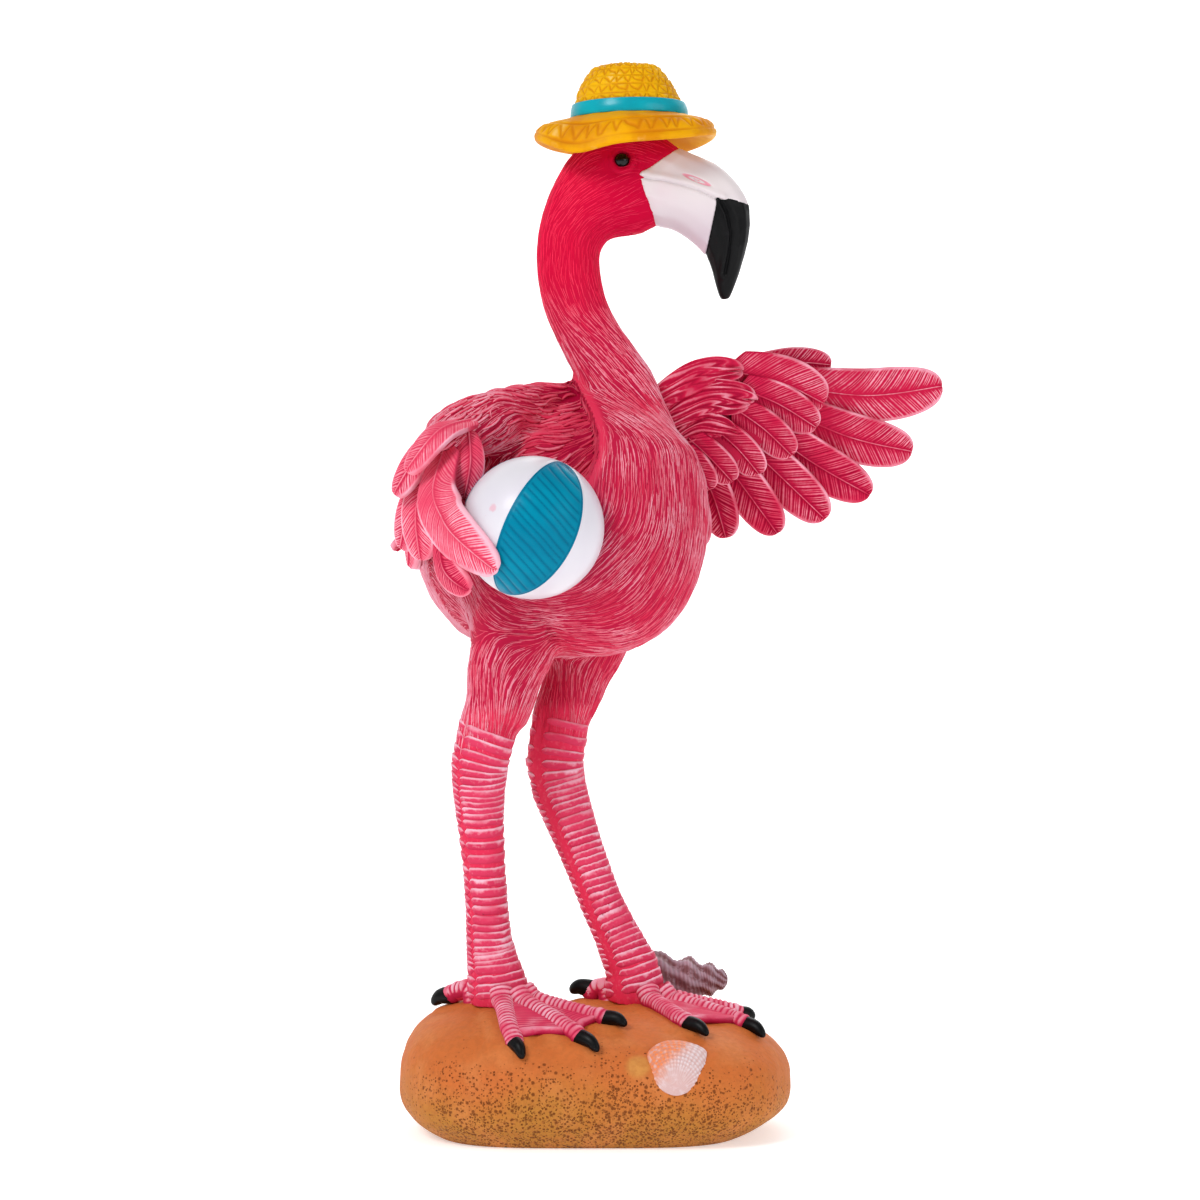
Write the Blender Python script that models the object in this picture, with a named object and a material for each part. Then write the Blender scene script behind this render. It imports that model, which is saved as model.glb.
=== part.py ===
"""Flamingo figurine: a painted resin casting about 320 mm tall, standing on a mound of sand.

The bird wears a straw hat, holds a beach ball under its bent right wing and stretches its left
wing out behind its neck. A scallop and a whelk lie on the mound. The casting is one still piece;
here it is divided where a person would name its parts, with a gap of 0.3 mm between neighbours.

All sizes are in millimetres, +Z up, with the origin at the centre of the mound's flat underside.
The display side faces -Y. The bird's body is turned 45 degrees toward +X, its head fully.
"""
import math

import bmesh
import bpy
from mathutils import Vector

MM = 0.001                      # one millimetre in scene units
GAP = 0.3                       # clearance between neighbouring solids
WELDS = (0.002, 0.0005, 0.005)  # corners closer than this are joined after the Booleans

# ---- driving dimensions -------------------------------------------------------------------
MOUND_HALF_X = 58.8             # mound of sand at its widest level
MOUND_HALF_Y = 46.0
MOUND_WIDEST_Z = 14.5
MOUND_RISE = 23.0               # from the widest level to the top
MOUND_TILT = 3.6                # how much higher the top runs toward -X
MOUND_FOOT_SCALE = 0.78         # underside against the widest level
MOUND_FOOT_SHIFT = -1.8         # the underside sits a little toward -X
MOUND_X_POWER = 4.0
MOUND_Y_POWER = 2.2
MOUND_RISE_POWER = 2.6

TRUNK_CENTRE = Vector((-10.0, 0.0, 0.0))
HEADING = Vector((math.sqrt(0.5), -math.sqrt(0.5), 0.0))
UP = Vector((0.0, 0.0, 1.0))
TOWARD_VIEWER = Vector((0.0, -1.0, 0.0))

BALL_CENTRE = Vector((-17.7, -52.0, 179.2))
BALL_RADIUS = 20.7

EYE_X = 8.3
EYE_Z = 290.2
EYE_RADIUS = 2.3
EYE_HALF_SPAN = 8.9             # distance of an eyeball's centre from the head's mid plane

HAT_CENTRE = Vector((10.6, 0.0, 302.8))
HAT_TILT = math.radians(-1.4)
CROWN_HALF_X = 17.2
CROWN_HALF_Y = 15.6
BRIM_HALF_X = 27.6
BRIM_SHIFT = -1.3               # the brim reaches further back than forward
BRIM_HALF_Y = 24.0
BRIM_THICKNESS = 2.2
BAND_LOW = 0.9
BAND_HIGH = 5.2

# Trunk: distance ahead of its centre along the heading, height, half width, half height.
TRUNK = [
    (-54, 176, 5, 5), (-50, 176, 12.5, 13.5), (-40, 176, 22.8, 26), (-24, 177, 31.5, 36),
    (-6, 180, 32.8, 39.2), (12, 180.6, 32, 39.8), (28, 176.4, 28.5, 36.8), (38, 172.9, 22.5, 29.8),
    (44, 171.5, 14.5, 19), (47, 171, 5, 6),
]

# Neck, head and bill in one line: the nape side (x, z), the throat side (x, z), y, half width.
NECK_TO_BILL = [
    (-2, 180, 24, 168, -20, 13), (-1, 196, 28, 188, -20, 15), (1, 206, 25.8, 206, -14, 13.5),
    (-2.5, 217, 21, 217, -8, 12), (-7, 227, 17.2, 227, -3, 11), (-13.8, 241, 7.4, 241, 0, 10),
    (-16.6, 250, 3.2, 250, 0, 9.6), (-18, 262, 1.6, 261, 0, 9.4), (-16.2, 274, 4, 266.4, 0, 9.8),
    (-12.2, 284.5, 8.5, 267.4, 0, 10.6), (-5.5, 294.5, 12, 267.8, 0, 11),
    (5, 301, 15, 268.4, 0, 10.8), (17, 300, 17.5, 270, 0, 9.8), (26.9, 293.3, 20, 270.4, 0, 8.7),
    (36, 289.7, 23.8, 269.4, 0, 7.9), (42.9, 283.3, 28.5, 266.4, 0, 7.2),
    (46.4, 276, 33, 262.1, 0, 6.3), (46, 266.5, 35.1, 257.8, 0, 5), (43.4, 257.6, 36.4, 253, 0, 3.2),
    (40.4, 250.2, 37.6, 250, 0, 1.5),
]
RINGS_PER_SPAN = 2
HEAD_STARTS_AT = 7              # station of NECK_TO_BILL where the neck ends

# Borders on the side of the bill: forehead, corner of the mouth, chin, then the dark tip's edge.
BILL_BORDER = [(26.7, 293.3), (14.4, 284.0), (18.8, 271.6)]
TIP_BORDER = [(46.4, 276.6), (36.5, 279.0), (33.0, 262.1)]

# Limbs: x, y, z, half width across, half depth.
THIGHS = {
    "right": [(-22, -12, 168, 15, 15), (-24.2, -13, 147, 14, 14.5), (-26.6, -14, 137.5, 11.6, 12.5),
              (-28, -14, 129, 10.3, 11), (-30.9, -14, 121.3, 9.4, 9.8)],
    "left": [(0, 14, 162, 14, 14), (-1.5, 15, 147, 12.3, 13), (-5, 15, 138.5, 10.8, 11.2),
             (-7.4, 14, 130, 9.5, 10), (-10.2, 13, 124.3, 9.2, 9.5)],
}
SHANKS = {
    "right": [(-31.6, -14, 121, 8.9, 9), (-34.1, -14, 110, 8.6, 8.7), (-34.3, -13, 101.7, 7.8, 8.1),
              (-33.9, -12, 93.4, 7.1, 7.4), (-32.8, -11, 79, 6.4, 6.8), (-32.1, -10, 68, 6.4, 6.6),
              (-31.5, -9, 58, 6.8, 6.9), (-30.4, -8.5, 51, 7.8, 7.5), (-29.6, -8.5, 47.2, 8.7, 8)],
    "left": [(-10.2, 12.8, 124, 8.9, 9), (-12.3, 12, 109, 8.9, 8.7), (-10.6, 12, 100.3, 8.4, 8.2),
             (-7.6, 11, 92, 7.6, 7.6), (-4.4, 10, 83.5, 6.9, 7), (-1.1, 9, 75, 6.6, 6.7),
             (2.1, 8, 66.7, 6.5, 6.6), (6.2, 7, 58.3, 6.9, 6.8), (9.3, 6, 51.5, 7.7, 7.3),
             (11, 6, 48, 8.5, 7.9)],
}
# Feet: the ankle (x, y), then for each toe the claw's root (x, y) and tip (x, y).
FEET = {
    "right": {"ankle": (-28.6, -9.5),
              "toes": [((-24.6, -35.5), (-20.9, -42.8)), ((-6.0, -35.0), (0.8, -41.0)),
                       ((2.0, -25.0), (9.0, -29.5))],
              "hind": ((-42.5, 0.5), (-48.5, 3.5))},
    "left": {"ankle": (12.2, 5.0),
             "toes": [((25.6, -23.0), (33.0, -30.0)), ((43.6, -10.5), (49.6, -16.5)),
                      ((42.5, 8.0), (47.8, 10.0))],
             "hind": ((-0.5, 12.0), (-7.2, 14.6))},
}
TOE_RADIUS = 2.5
TOE_LIFTS = (3.6, 2.6, 2.0, 1.8)        # height of a toe's middle line over the mound, ankle to claw
HIND_TOE_RADIUS = 3.1
HIND_TOE_LIFTS = (4.2, 4.0, 3.8, 3.4)
TOE_TAPER = (1.35, 1.15, 1.0, 1.0, 0.78, 0.2)
WEB_THICKNESS = 1.5

# Feathers: path from root to tip, the way its shown face points at root and at tip, half width.
LEFT_FACE = (-.2, -1, 0)
LEFT_FEATHERS = {
    "primary_1": ([(54, 31, 226), (84, 41, 222.6), (109.2, 49, 226)], LEFT_FACE, LEFT_FACE, 8.4),
    "primary_2": ([(52, 29, 221), (78, 38.5, 210), (99.4, 46, 205.4)], LEFT_FACE, LEFT_FACE, 7.4),
    "primary_3": ([(46, 25, 217), (66, 33.5, 202.5), (85.8, 40.5, 191.6)], LEFT_FACE, LEFT_FACE, 7),
    "primary_4": ([(40, 22, 213), (57, 29.5, 197.5), (71.6, 35, 184)], LEFT_FACE, LEFT_FACE, 6.8),
    "primary_5": ([(33, 19, 210), (45.5, 24, 194), (56.6, 30, 179.4)], LEFT_FACE, LEFT_FACE, 6.6),
    "primary_6": ([(29, 16, 206), (36.4, 20, 191), (40.6, 24, 177.8)], LEFT_FACE, LEFT_FACE, 5.8),
    "primary_7": ([(24, 13, 203), (29.4, 16, 188), (31.8, 18.5, 174.6)], LEFT_FACE, LEFT_FACE, 5.2),
    "leading": ([(44, 25, 230), (61, 33.5, 232.4), (73.4, 38, 232)], LEFT_FACE, LEFT_FACE, 4.6),
}
LEFT_ARM = [(12, 4, 201, 15, 8), (21, 9, 206, 16.5, 7), (34, 15.5, 213.2, 16.5, 5.5),
            (48, 23, 220.5, 14, 4.5), (60, 29, 224.4, 11, 3.6), (67, 32.5, 225.2, 7, 2.8)]

RIGHT_FEATHERS = {
    "covert": ([(-35, -35, 210), (-44.5, -46.5, 206), (-53.4, -48, 194.8)],
               (-.2, -.7, .7), (-.6, -.7, .3), 4.4),
    "primary": ([(-42, -41, 203), (-45.2, -50, 190), (-42.3, -55, 181.8), (-37.1, -63, 175.4),
                 (-27.0, -69.4, 167.2)], (-.6, -.8, 0), (-.5, -.75, -.4), 8.0),
    "inner": ([(-36.5, -38, 207), (-35.6, -45, 198), (-37.2, -46.5, 187.5)],
              (.1, -1, 0), (-.2, -1, 0), 4.2),
    "lower": ([(-44, -44, 184), (-42, -56, 168), (-34, -62.5, 160.6)],
              (-.6, -.7, -.3), (-.4, -.8, -.5), 5.2),
    "edge_1": ([(-41, -38, 206), (-50, -39, 200), (-57.4, -37, 188.6)], (-.7, -.7, 0), (-.8, -.6, 0), 5.0),
    "edge_2": ([(-42, -35, 203), (-52, -35, 187), (-55.8, -30, 173.2)], (-.8, -.6, 0), (-.8, -.6, -.1), 6.0),
    "rear_1": ([(-38, -28, 208), (-48, -25, 198), (-53, -21, 184), (-54, -15, 168)],
               (-.8, -.4, .4), (-.9, -.3, -.1), 7.4),
    "rear_2": ([(-32, -20, 212), (-45, -13, 201), (-52, -7, 186), (-53.4, 0, 168)],
               (-.8, -.3, .5), (-.95, 0, -.1), 7.8),
    "rear_3": ([(-24, -13, 216), (-39, -4, 207.5), (-50, 4, 190), (-53, 15, 170)],
               (-.5, 0, .8), (-.9, .3, 0), 7.8),
    "rear_4": ([(-15, -6, 218), (-32, 6, 214), (-45.5, 15.5, 202), (-51.5, 22, 190)],
               (-.4, .2, .9), (-.8, .5, .3), 7.4),
}
RIGHT_ARM = [(-2, -2, 213, 10, 11.4), (-13, -8, 213.4, 10.5, 10.6), (-25, -17, 212.4, 10, 9.3),
             (-36.5, -27, 208.4, 9.6, 9.0), (-42.6, -36, 204.2, 8.1, 7.8), (-42.5, -42, 199, 5.2, 5.5)]

TAIL_FEATHERS = 5
TAIL_ROOT = Vector((-42.0, 30.0, 184.0))
TAIL_REACH = 20.0
TAIL_SPREAD = math.radians(26.0)
TAIL_DROP = 0.42

SCALLOP_CENTRE = (24.0, -40.6, 25.6)
SCALLOP_FACING = Vector((0.13, -0.85, 0.50))
SCALLOP_HALF_WIDTH = 9.4
SCALLOP_HALF_HEIGHT = 8.6
SCALLOP_DOME = 4.2
# Whelk: x, y, z, radius; every other station is the groove between two whorls.
WHELK = [(7, 27, 41.5, 3.5), (13, 26.5, 41.8, 7.6), (21, 26, 41.6, 8.8), (25.5, 25.6, 41.6, 6.9),
         (30, 25.2, 41.6, 7.4), (33.4, 24.9, 41.8, 5.2), (36, 24.6, 42, 4.9), (37.8, 24.4, 42, 3.6),
         (39.2, 24.2, 42, 3.0), (40.6, 24, 42, 1.4)]

PAINT = {   # base colour, roughness
    "pink": ((0.70, 0.045, 0.10), 0.5), "crimson": ((0.72, 0.02, 0.06), 0.5),
    "straw": ((0.86, 0.47, 0.02), 0.6), "turquoise": ((0.0, 0.36, 0.48), 0.25),
    "white": ((0.82, 0.76, 0.80), 0.3), "black": ((0.012, 0.012, 0.014), 0.3),
    "sand": ((0.52, 0.22, 0.06), 0.8), "shell": ((0.78, 0.55, 0.50), 0.6),
    "grape": ((0.26, 0.14, 0.16), 0.6),
}


# ---- scene helpers ------------------------------------------------------------------------
def clear_scene():
    for obj in list(bpy.data.objects):
        bpy.data.objects.remove(obj, do_unlink=True)


def make_collection(name):
    collection = bpy.data.collections.new(name)
    bpy.context.scene.collection.children.link(collection)
    return collection


def paint(name):
    material = bpy.data.materials.get(name)
    if material is None:
        material = bpy.data.materials.new(name)
        material.use_nodes = True
        shader = material.node_tree.nodes["Principled BSDF"]
        colour, roughness = PAINT[name]
        shader.inputs["Base Color"].default_value = (*colour, 1.0)
        shader.inputs["Roughness"].default_value = roughness
        shader.inputs["Metallic"].default_value = 0.0
    return material


def solid(name, rings, colour, collection):
    """Close a row of equal rings, given in millimetres, into one solid."""
    mesh = bpy.data.meshes.new(name)
    shape = bmesh.new()
    rows = [[shape.verts.new(point * MM) for point in ring] for ring in rings]
    for low, high in zip(rows, rows[1:]):
        for i in range(len(low)):
            j = (i + 1) % len(low)
            shape.faces.new((low[i], low[j], high[j], high[i]))
    shape.faces.new(rows[0][::-1])
    shape.faces.new(rows[-1])
    bmesh.ops.recalc_face_normals(shape, faces=shape.faces)
    shape.to_mesh(mesh)
    shape.free()
    mesh.shade_smooth()
    mesh.set_sharp_from_angle(angle=math.radians(40))
    obj = bpy.data.objects.new(name, mesh)
    obj.data.materials.append(paint(colour))
    collection.objects.link(obj)
    return obj


def as_cutter(obj):
    obj.hide_render = True
    obj.display_type = "WIRE"
    return obj


def combine(obj, other, operation, solver="EXACT"):
    """Add one Boolean; the other object must be in the cutters' collection."""
    modifier = obj.modifiers.new(f"{operation.lower()} {other.name}", "BOOLEAN")
    modifier.operation = operation
    modifier.solver = solver
    modifier.object = as_cutter(other)


def largest_body(shape):
    """The corners of the biggest connected piece of a shape."""
    left = set(shape.verts)
    bodies = []
    while left:
        ends = [left.pop()]
        body = set(ends)
        while ends:
            for edge in ends.pop().link_edges:
                new = {vert for vert in edge.verts if vert in left}
                left -= new
                body |= new
                ends.extend(new)
        bodies.append(body)
    return max(bodies, key=len)


def welded(mesh, distance):
    """The mesh as triangles, with slivers welded away and only its largest body kept."""
    shape = bmesh.new()
    shape.from_mesh(mesh)
    bmesh.ops.triangulate(shape, faces=shape.faces)
    bmesh.ops.remove_doubles(shape, verts=shape.verts, dist=distance * MM)
    bmesh.ops.dissolve_degenerate(shape, edges=shape.edges, dist=distance * MM)
    bmesh.ops.triangulate(shape, faces=shape.faces)
    kept = largest_body(shape)
    bmesh.ops.delete(shape, geom=[vert for vert in shape.verts if vert not in kept], context="VERTS")
    return shape


def settle(obj):
    """Apply an object's Booleans, with the first weld that leaves its surface closed."""
    graph = bpy.context.evaluated_depsgraph_get()
    mesh = bpy.data.meshes.new_from_object(obj.evaluated_get(graph))
    for distance in WELDS:
        shape = welded(mesh, distance)
        if all(len(edge.link_faces) == 2 for edge in shape.edges):
            break
    shape.to_mesh(mesh)
    shape.free()
    obj.modifiers.clear()
    obj.data = mesh


# ---- curves and rings ---------------------------------------------------------------------
def spline(stations, spans):
    """Smooth curve through the stations, with the given number of samples in each span."""
    last = len(stations) - 1
    samples = []
    for i in range(last * spans + 1):
        k = min(i // spans, last - 1)
        t = i / spans - k
        four = [stations[min(max(k + j, 0), last)] for j in (-1, 0, 1, 2)]
        samples.append(tuple(
            0.5 * (2 * b + (c - a) * t + (2 * a - 5 * b + 4 * c - d) * t ** 2
                   + (3 * b - a - 3 * c + d) * t ** 3)
            for a, b, c, d in zip(*four)))
    return samples


def moved(ring, way):
    return [point + way for point in ring]


def ellipse(centre, side, lift, sides):
    return [centre + side * math.cos(math.tau * i / sides) + lift * math.sin(math.tau * i / sides)
            for i in range(sides)]


def tube_rings(stations, up, sides, spans=2, grow=0.0):
    """Rings square to a path; each station is x, y, z, half width, half depth toward up."""
    path = spline(stations, spans)
    rings = []
    for i, (x, y, z, wide, tall) in enumerate(path):
        before = Vector(path[max(i - 1, 0)][:3])
        after = Vector(path[min(i + 1, len(path) - 1)][:3])
        ahead = (after - before).normalized()
        side = ahead.cross(up).normalized()
        lift = side.cross(ahead)
        end = (i == len(path) - 1) - (i == 0)
        centre = Vector((x, y, z)) + ahead * grow * end
        rings.append(ellipse(centre, side * (wide + grow), lift * (tall + grow), sides))
    return rings


def pair_rings(stations, grow=0.0, sides=14):
    """Rings between two outlines drawn in the XZ plane; see NECK_TO_BILL."""
    rings = []
    for ax, az, bx, bz, y, half in spline(stations, RINGS_PER_SPAN):
        across = Vector((bx - ax, 0.0, bz - az)) / 2
        centre = Vector(((ax + bx) / 2, y, (az + bz) / 2))
        across += across.normalized() * grow
        rings.append(ellipse(centre, Vector((0.0, half + grow, 0.0)), across, sides))
    return rings


VANE_STEPS = (0.0, 0.2, 0.42, 0.62, 0.78, 0.9, 0.965, 0.995)


def vane_width(t, root=0.5):
    """A feather's width along its length, 1 at its widest, with a round tip."""
    rise = root + (1 - root) * math.sin(min(t / 0.55, 1.0) * math.pi / 2)
    fall = 1.0 if t < 0.6 else math.sqrt(max(0.0, 1 - ((t - 0.6) / 0.4) ** 2))
    return rise * fall


def along(points, t):
    """Point at share t of the smooth curve through a feather's path."""
    fine = spline(points, 16)
    at = t * (len(fine) - 1)
    k = min(int(at), len(fine) - 2)
    return Vector(fine[k]).lerp(Vector(fine[k + 1]), at - k)


def vane_rings(path, face_root, face_tip, half_width, thick=1.5, edge=0.45):
    """Six-cornered sections of one broad feather, thickest along its shaft."""
    rings = []
    for t in VANE_STEPS:
        centre = along(path, t)
        ahead = (along(path, min(t + 0.03, 1.0)) - along(path, max(t - 0.03, 0.0))).normalized()
        face = Vector(face_root).lerp(Vector(face_tip), t)
        side = ahead.cross(face).normalized()
        face = side.cross(ahead).normalized()
        wide = side * half_width * vane_width(t)
        deep = face * (edge + (thick - edge) * vane_width(t, 1.0))
        rim = face * edge
        rings.append([centre + wide + rim, centre + deep, centre - wide + rim,
                      centre - wide - rim, centre - deep, centre + wide - rim])
    return rings


# ---- the mound ----------------------------------------------------------------------------
def mound_top(x, y):
    """Height of the mound's upper surface."""
    inside = 1 - abs(x / MOUND_HALF_X) ** MOUND_X_POWER - abs(y / MOUND_HALF_Y) ** MOUND_Y_POWER
    rise = MOUND_RISE - MOUND_TILT * x / MOUND_HALF_X
    return MOUND_WIDEST_Z + rise * max(inside, 0.0) ** (1 / MOUND_RISE_POWER)


def mound_rings(grow=0.0, sides=24):
    rings = []
    for z in (0.0, 2.0, 7.0):
        drop = (MOUND_WIDEST_Z - z) / MOUND_WIDEST_Z
        scale = 1 - (1 - MOUND_FOOT_SCALE) * drop ** 2.6
        slide = Vector((MOUND_FOOT_SHIFT * drop ** 2, 0.0, 0.0))
        ring = [mound_point(math.tau * i / sides, 0.0, scale, z, grow) for i in range(sides)]
        rings.append(moved(ring, slide))
    for share in (0.0, 0.15, 0.35, 0.6, 0.8, 0.93, 0.985):
        rings.append([mound_point(math.tau * i / sides, share, 1.0, None, grow) for i in range(sides)])
    return rings


def mound_point(angle, share, scale, z, grow):
    """A point of the mound: share 0 is its widest level and 1 its top."""
    cos, sin = math.cos(angle), math.sin(angle)
    left = 1 - share
    x = (MOUND_HALF_X + grow) * scale * math.copysign((left * cos * cos) ** (1 / MOUND_X_POWER), cos)
    y = (MOUND_HALF_Y + grow) * scale * math.copysign((left * sin * sin) ** (1 / MOUND_Y_POWER), sin)
    if z is None:
        rise = MOUND_RISE - MOUND_TILT * x / MOUND_HALF_X + grow
        z = MOUND_WIDEST_Z + rise * share ** (1 / MOUND_RISE_POWER)
    return Vector((x, y, z))


# ---- the bird -----------------------------------------------------------------------------
def trunk_rings(grow=0.0):
    stations = []
    for ahead, z, wide, tall in TRUNK:
        place = TRUNK_CENTRE + HEADING * ahead
        stations.append((place.x, place.y, z, wide, tall))
    return tube_rings(stations, UP, 18, grow=grow)


def side_prism(name, outline, cutters):
    """Plate that crosses the head, from an outline drawn in the XZ plane."""
    reach = 30.0
    rings = [[Vector((x, y, z)) for x, z in outline] for y in (-reach, reach)]
    return solid(name, rings, "white", cutters)


def shift(outline, dx, dz):
    return [(x + dx, z + dz) for x, z in outline]


def make_head_and_bill(parts, cutters):
    rings = pair_rings(NECK_TO_BILL)
    cut = HEAD_STARTS_AT * RINGS_PER_SPAN
    neck = solid("neck", rings[:cut + 1], "pink", parts)
    combine(neck, solid("neck_from_trunk", trunk_rings(GAP), "pink", cutters), "DIFFERENCE")
    lifted = [point + Vector((0.0, 0.0, GAP)) for point in rings[cut]]
    whole = [lifted] + rings[cut + 1:]
    box_right, box_top, box_low = 70.0, 320.0, 230.0
    beyond = [(box_right, box_top), (40.0, box_top)]
    under = [(26.0, box_low), (box_right, box_low)]
    head = solid("head", whole, "crimson", parts)
    combine(head, side_prism("head_front", beyond + BILL_BORDER + under, cutters), "DIFFERENCE")
    bill = solid("bill", whole, "white", parts)
    combine(bill, side_prism("bill_back", beyond + shift(BILL_BORDER, GAP, 0.0) + under, cutters),
            "INTERSECT")
    tip_over = [(box_right, box_top), (box_right, 285.0)]
    combine(bill, side_prism("bill_front", tip_over[1:] + TIP_BORDER + under, cutters), "DIFFERENCE")
    tip = solid("bill_tip", whole, "black", parts)
    combine(tip, side_prism("tip_back", tip_over[1:] + shift(TIP_BORDER, GAP, -GAP) + under, cutters),
            "INTERSECT")
    for side, sign in (("right", -1), ("left", 1)):
        place = Vector((EYE_X, sign * EYE_HALF_SPAN, EYE_Z))
        ball(f"eye_{side}", place, EYE_RADIUS, "black", parts, 10, 6)
        socket = ball(f"{side}_socket", place, EYE_RADIUS + GAP, "black", cutters, 10, 6)
        combine(head, socket, "DIFFERENCE")
    return whole


def ball(name, centre, radius, colour, collection, segments, rings):
    mesh = bpy.data.meshes.new(name)
    shape = bmesh.new()
    bmesh.ops.create_uvsphere(shape, u_segments=segments, v_segments=rings, radius=radius * MM)
    shape.to_mesh(mesh)
    shape.free()
    mesh.shade_smooth()
    obj = bpy.data.objects.new(name, mesh)
    obj.data.materials.append(paint(colour))
    obj.location = centre * MM
    collection.objects.link(obj)
    return obj


def brim_drop(angle):
    """How far the brim's edge hangs: least fore and aft, most beside the head and behind it."""
    beside = abs(math.sin(angle))
    return 4.1 + 5.6 * beside ** 1.6 - 1.6 * math.cos(angle) * beside


def hat_ring(half_x, half_y, height, shift_x=0.0, sides=24):
    """One level of the hat; height is a number or a function of the angle round it."""
    ring = []
    for i in range(sides):
        angle = math.tau * i / sides
        z = height(angle) if callable(height) else height
        x = shift_x + half_x * math.cos(angle)
        ring.append(HAT_CENTRE + Vector((x * math.cos(HAT_TILT) + z * math.sin(HAT_TILT),
                                         half_y * math.sin(angle),
                                         z * math.cos(HAT_TILT) - x * math.sin(HAT_TILT))))
    return ring


CROWN_PROFILE = [   # share of the crown's half width at its foot, height over its foot
    (0.18, 16.5), (0.44, 16.3), (0.63, 15.2), (0.74, 13.0), (0.82, 10.2), (0.885, 7.6), (0.935, 5.6),
]


def make_hat(parts, cutters, head_rings):
    rings = [hat_ring(CROWN_HALF_X * share, CROWN_HALF_Y * share, z) for share, z in CROWN_PROFILE]
    for z in (BAND_HIGH, BAND_LOW):
        rings.append(hat_ring(CROWN_HALF_X * 0.945, CROWN_HALF_Y * 0.945, z))
    rings.append(hat_ring(CROWN_HALF_X, CROWN_HALF_Y, 0.2))
    middle_x, middle_y = (CROWN_HALF_X + BRIM_HALF_X) / 2, (CROWN_HALF_Y + BRIM_HALF_Y) / 2
    brim = [    # half length, half width, share of the drop, height, share of the brim's shift
        (middle_x, middle_y, 0.42, 0.0, 0.5), (BRIM_HALF_X - 0.7, BRIM_HALF_Y - 0.7, 1.0, 0.9, 1.0),
        (BRIM_HALF_X, BRIM_HALF_Y, 1.0, 0.0, 1.0), (BRIM_HALF_X - 0.9, BRIM_HALF_Y - 0.9, 1.0, -1.1, 1.0),
        (middle_x - 1.4, middle_y - 1.6, 0.44, -BRIM_THICKNESS, 0.5),
    ]
    for half_x, half_y, drop, rise, share in brim:
        rings.append(hat_ring(half_x, half_y, lambda a, d=drop, r=rise: r - d * brim_drop(a),
                              BRIM_SHIFT * share))
    rings.append(hat_ring(CROWN_HALF_X * 0.86, CROWN_HALF_Y * 0.82, -BRIM_THICKNESS))
    rings.append(hat_ring(CROWN_HALF_X * 0.5, CROWN_HALF_Y * 0.5, -BRIM_THICKNESS))
    hat = solid("hat", rings, "straw", parts)
    grown = [grow_ring(ring) for ring in head_rings]
    combine(hat, solid("hat_from_head", grown, "crimson", cutters), "DIFFERENCE")
    inner, outer = 0.945, 1.03
    band = [hat_ring(CROWN_HALF_X * share + extra, CROWN_HALF_Y * share + extra, z)
            for share, extra, z in ((inner, GAP, BAND_LOW + GAP), (outer, 0.0, BAND_LOW + GAP),
                                    (outer - 0.03, 0.0, BAND_HIGH - GAP), (inner, GAP, BAND_HIGH - GAP))]
    closed_ring("hat_band", band, "turquoise", parts)


def grow_ring(ring):
    centre = sum(ring, Vector()) / len(ring)
    return [point + (point - centre).normalized() * GAP for point in ring]


def closed_ring(name, rings, colour, collection):
    """A hoop: like solid, but the last ring joins the first and there are no caps."""
    obj = solid(name, rings, colour, collection)
    shape = bmesh.new()
    shape.from_mesh(obj.data)
    count = len(rings[0])
    caps = [face for face in shape.faces if len(face.verts) == count]
    bmesh.ops.delete(shape, geom=caps, context="FACES_ONLY")
    shape.verts.ensure_lookup_table()
    last = len(shape.verts) - count
    for i in range(count):
        j = (i + 1) % count
        shape.faces.new([shape.verts[k] for k in (last + i, last + j, j, i)])
    bmesh.ops.recalc_face_normals(shape, faces=shape.faces)
    shape.to_mesh(obj.data)
    shape.free()
    return obj


def make_wing(name, arm, feathers, parts, cutters, others):
    """An arm with its feathers united to it, cut clear of its neighbours."""
    wing = solid(name, tube_rings(arm, UP if name.endswith("right") else TOWARD_VIEWER, 14), "pink", parts)
    for key, (path, face_root, face_tip, half_width) in feathers.items():
        vane = solid(f"{name}_{key}", vane_rings(path, face_root, face_tip, half_width), "pink", cutters)
        combine(wing, vane, "UNION", "MANIFOLD")
    for other in others:
        combine(wing, other, "DIFFERENCE", "MANIFOLD")
    settle(wing)


def make_tail(parts, cutters):
    back = -HEADING
    across = UP.cross(back)
    middle = (TAIL_FEATHERS - 1) / 2
    tail = None
    for i in range(TAIL_FEATHERS):
        step = (i - middle) / middle
        turn = TAIL_SPREAD * step
        way = back * math.cos(turn) + across * math.sin(turn)
        reach = TAIL_REACH * (1 - 0.12 * abs(step))
        root = TAIL_ROOT + across * 6 * step - UP * (1.6 * abs(step) + 0.15 * i)
        path = [tuple(root - way * 8), tuple(root + way * reach * 0.5 - UP * TAIL_DROP * reach * 0.35),
                tuple(root + way * reach - UP * TAIL_DROP * reach)]
        rings = vane_rings(path, (0, 0, 1), (0, 0, 1), 4.8, thick=1.7)
        if tail is None:
            tail = solid("tail", rings, "pink", parts)
        else:
            combine(tail, solid(f"tail_feather_{i}", rings, "pink", cutters), "UNION", "MANIFOLD")
    combine(tail, solid("tail_from_trunk", trunk_rings(GAP), "pink", cutters), "DIFFERENCE")
    settle(tail)


def toe_path(start, end, lifts):
    """Points over the mound from one place to another, each raised by its own lift."""
    path = []
    for i, lift in enumerate(lifts):
        t = i / (len(lifts) - 1)
        x = start[0] + (end[0] - start[0]) * t
        y = start[1] + (end[1] - start[1]) * t
        path.append((x, y, mound_top(x, y) + lift))
    return path


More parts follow.
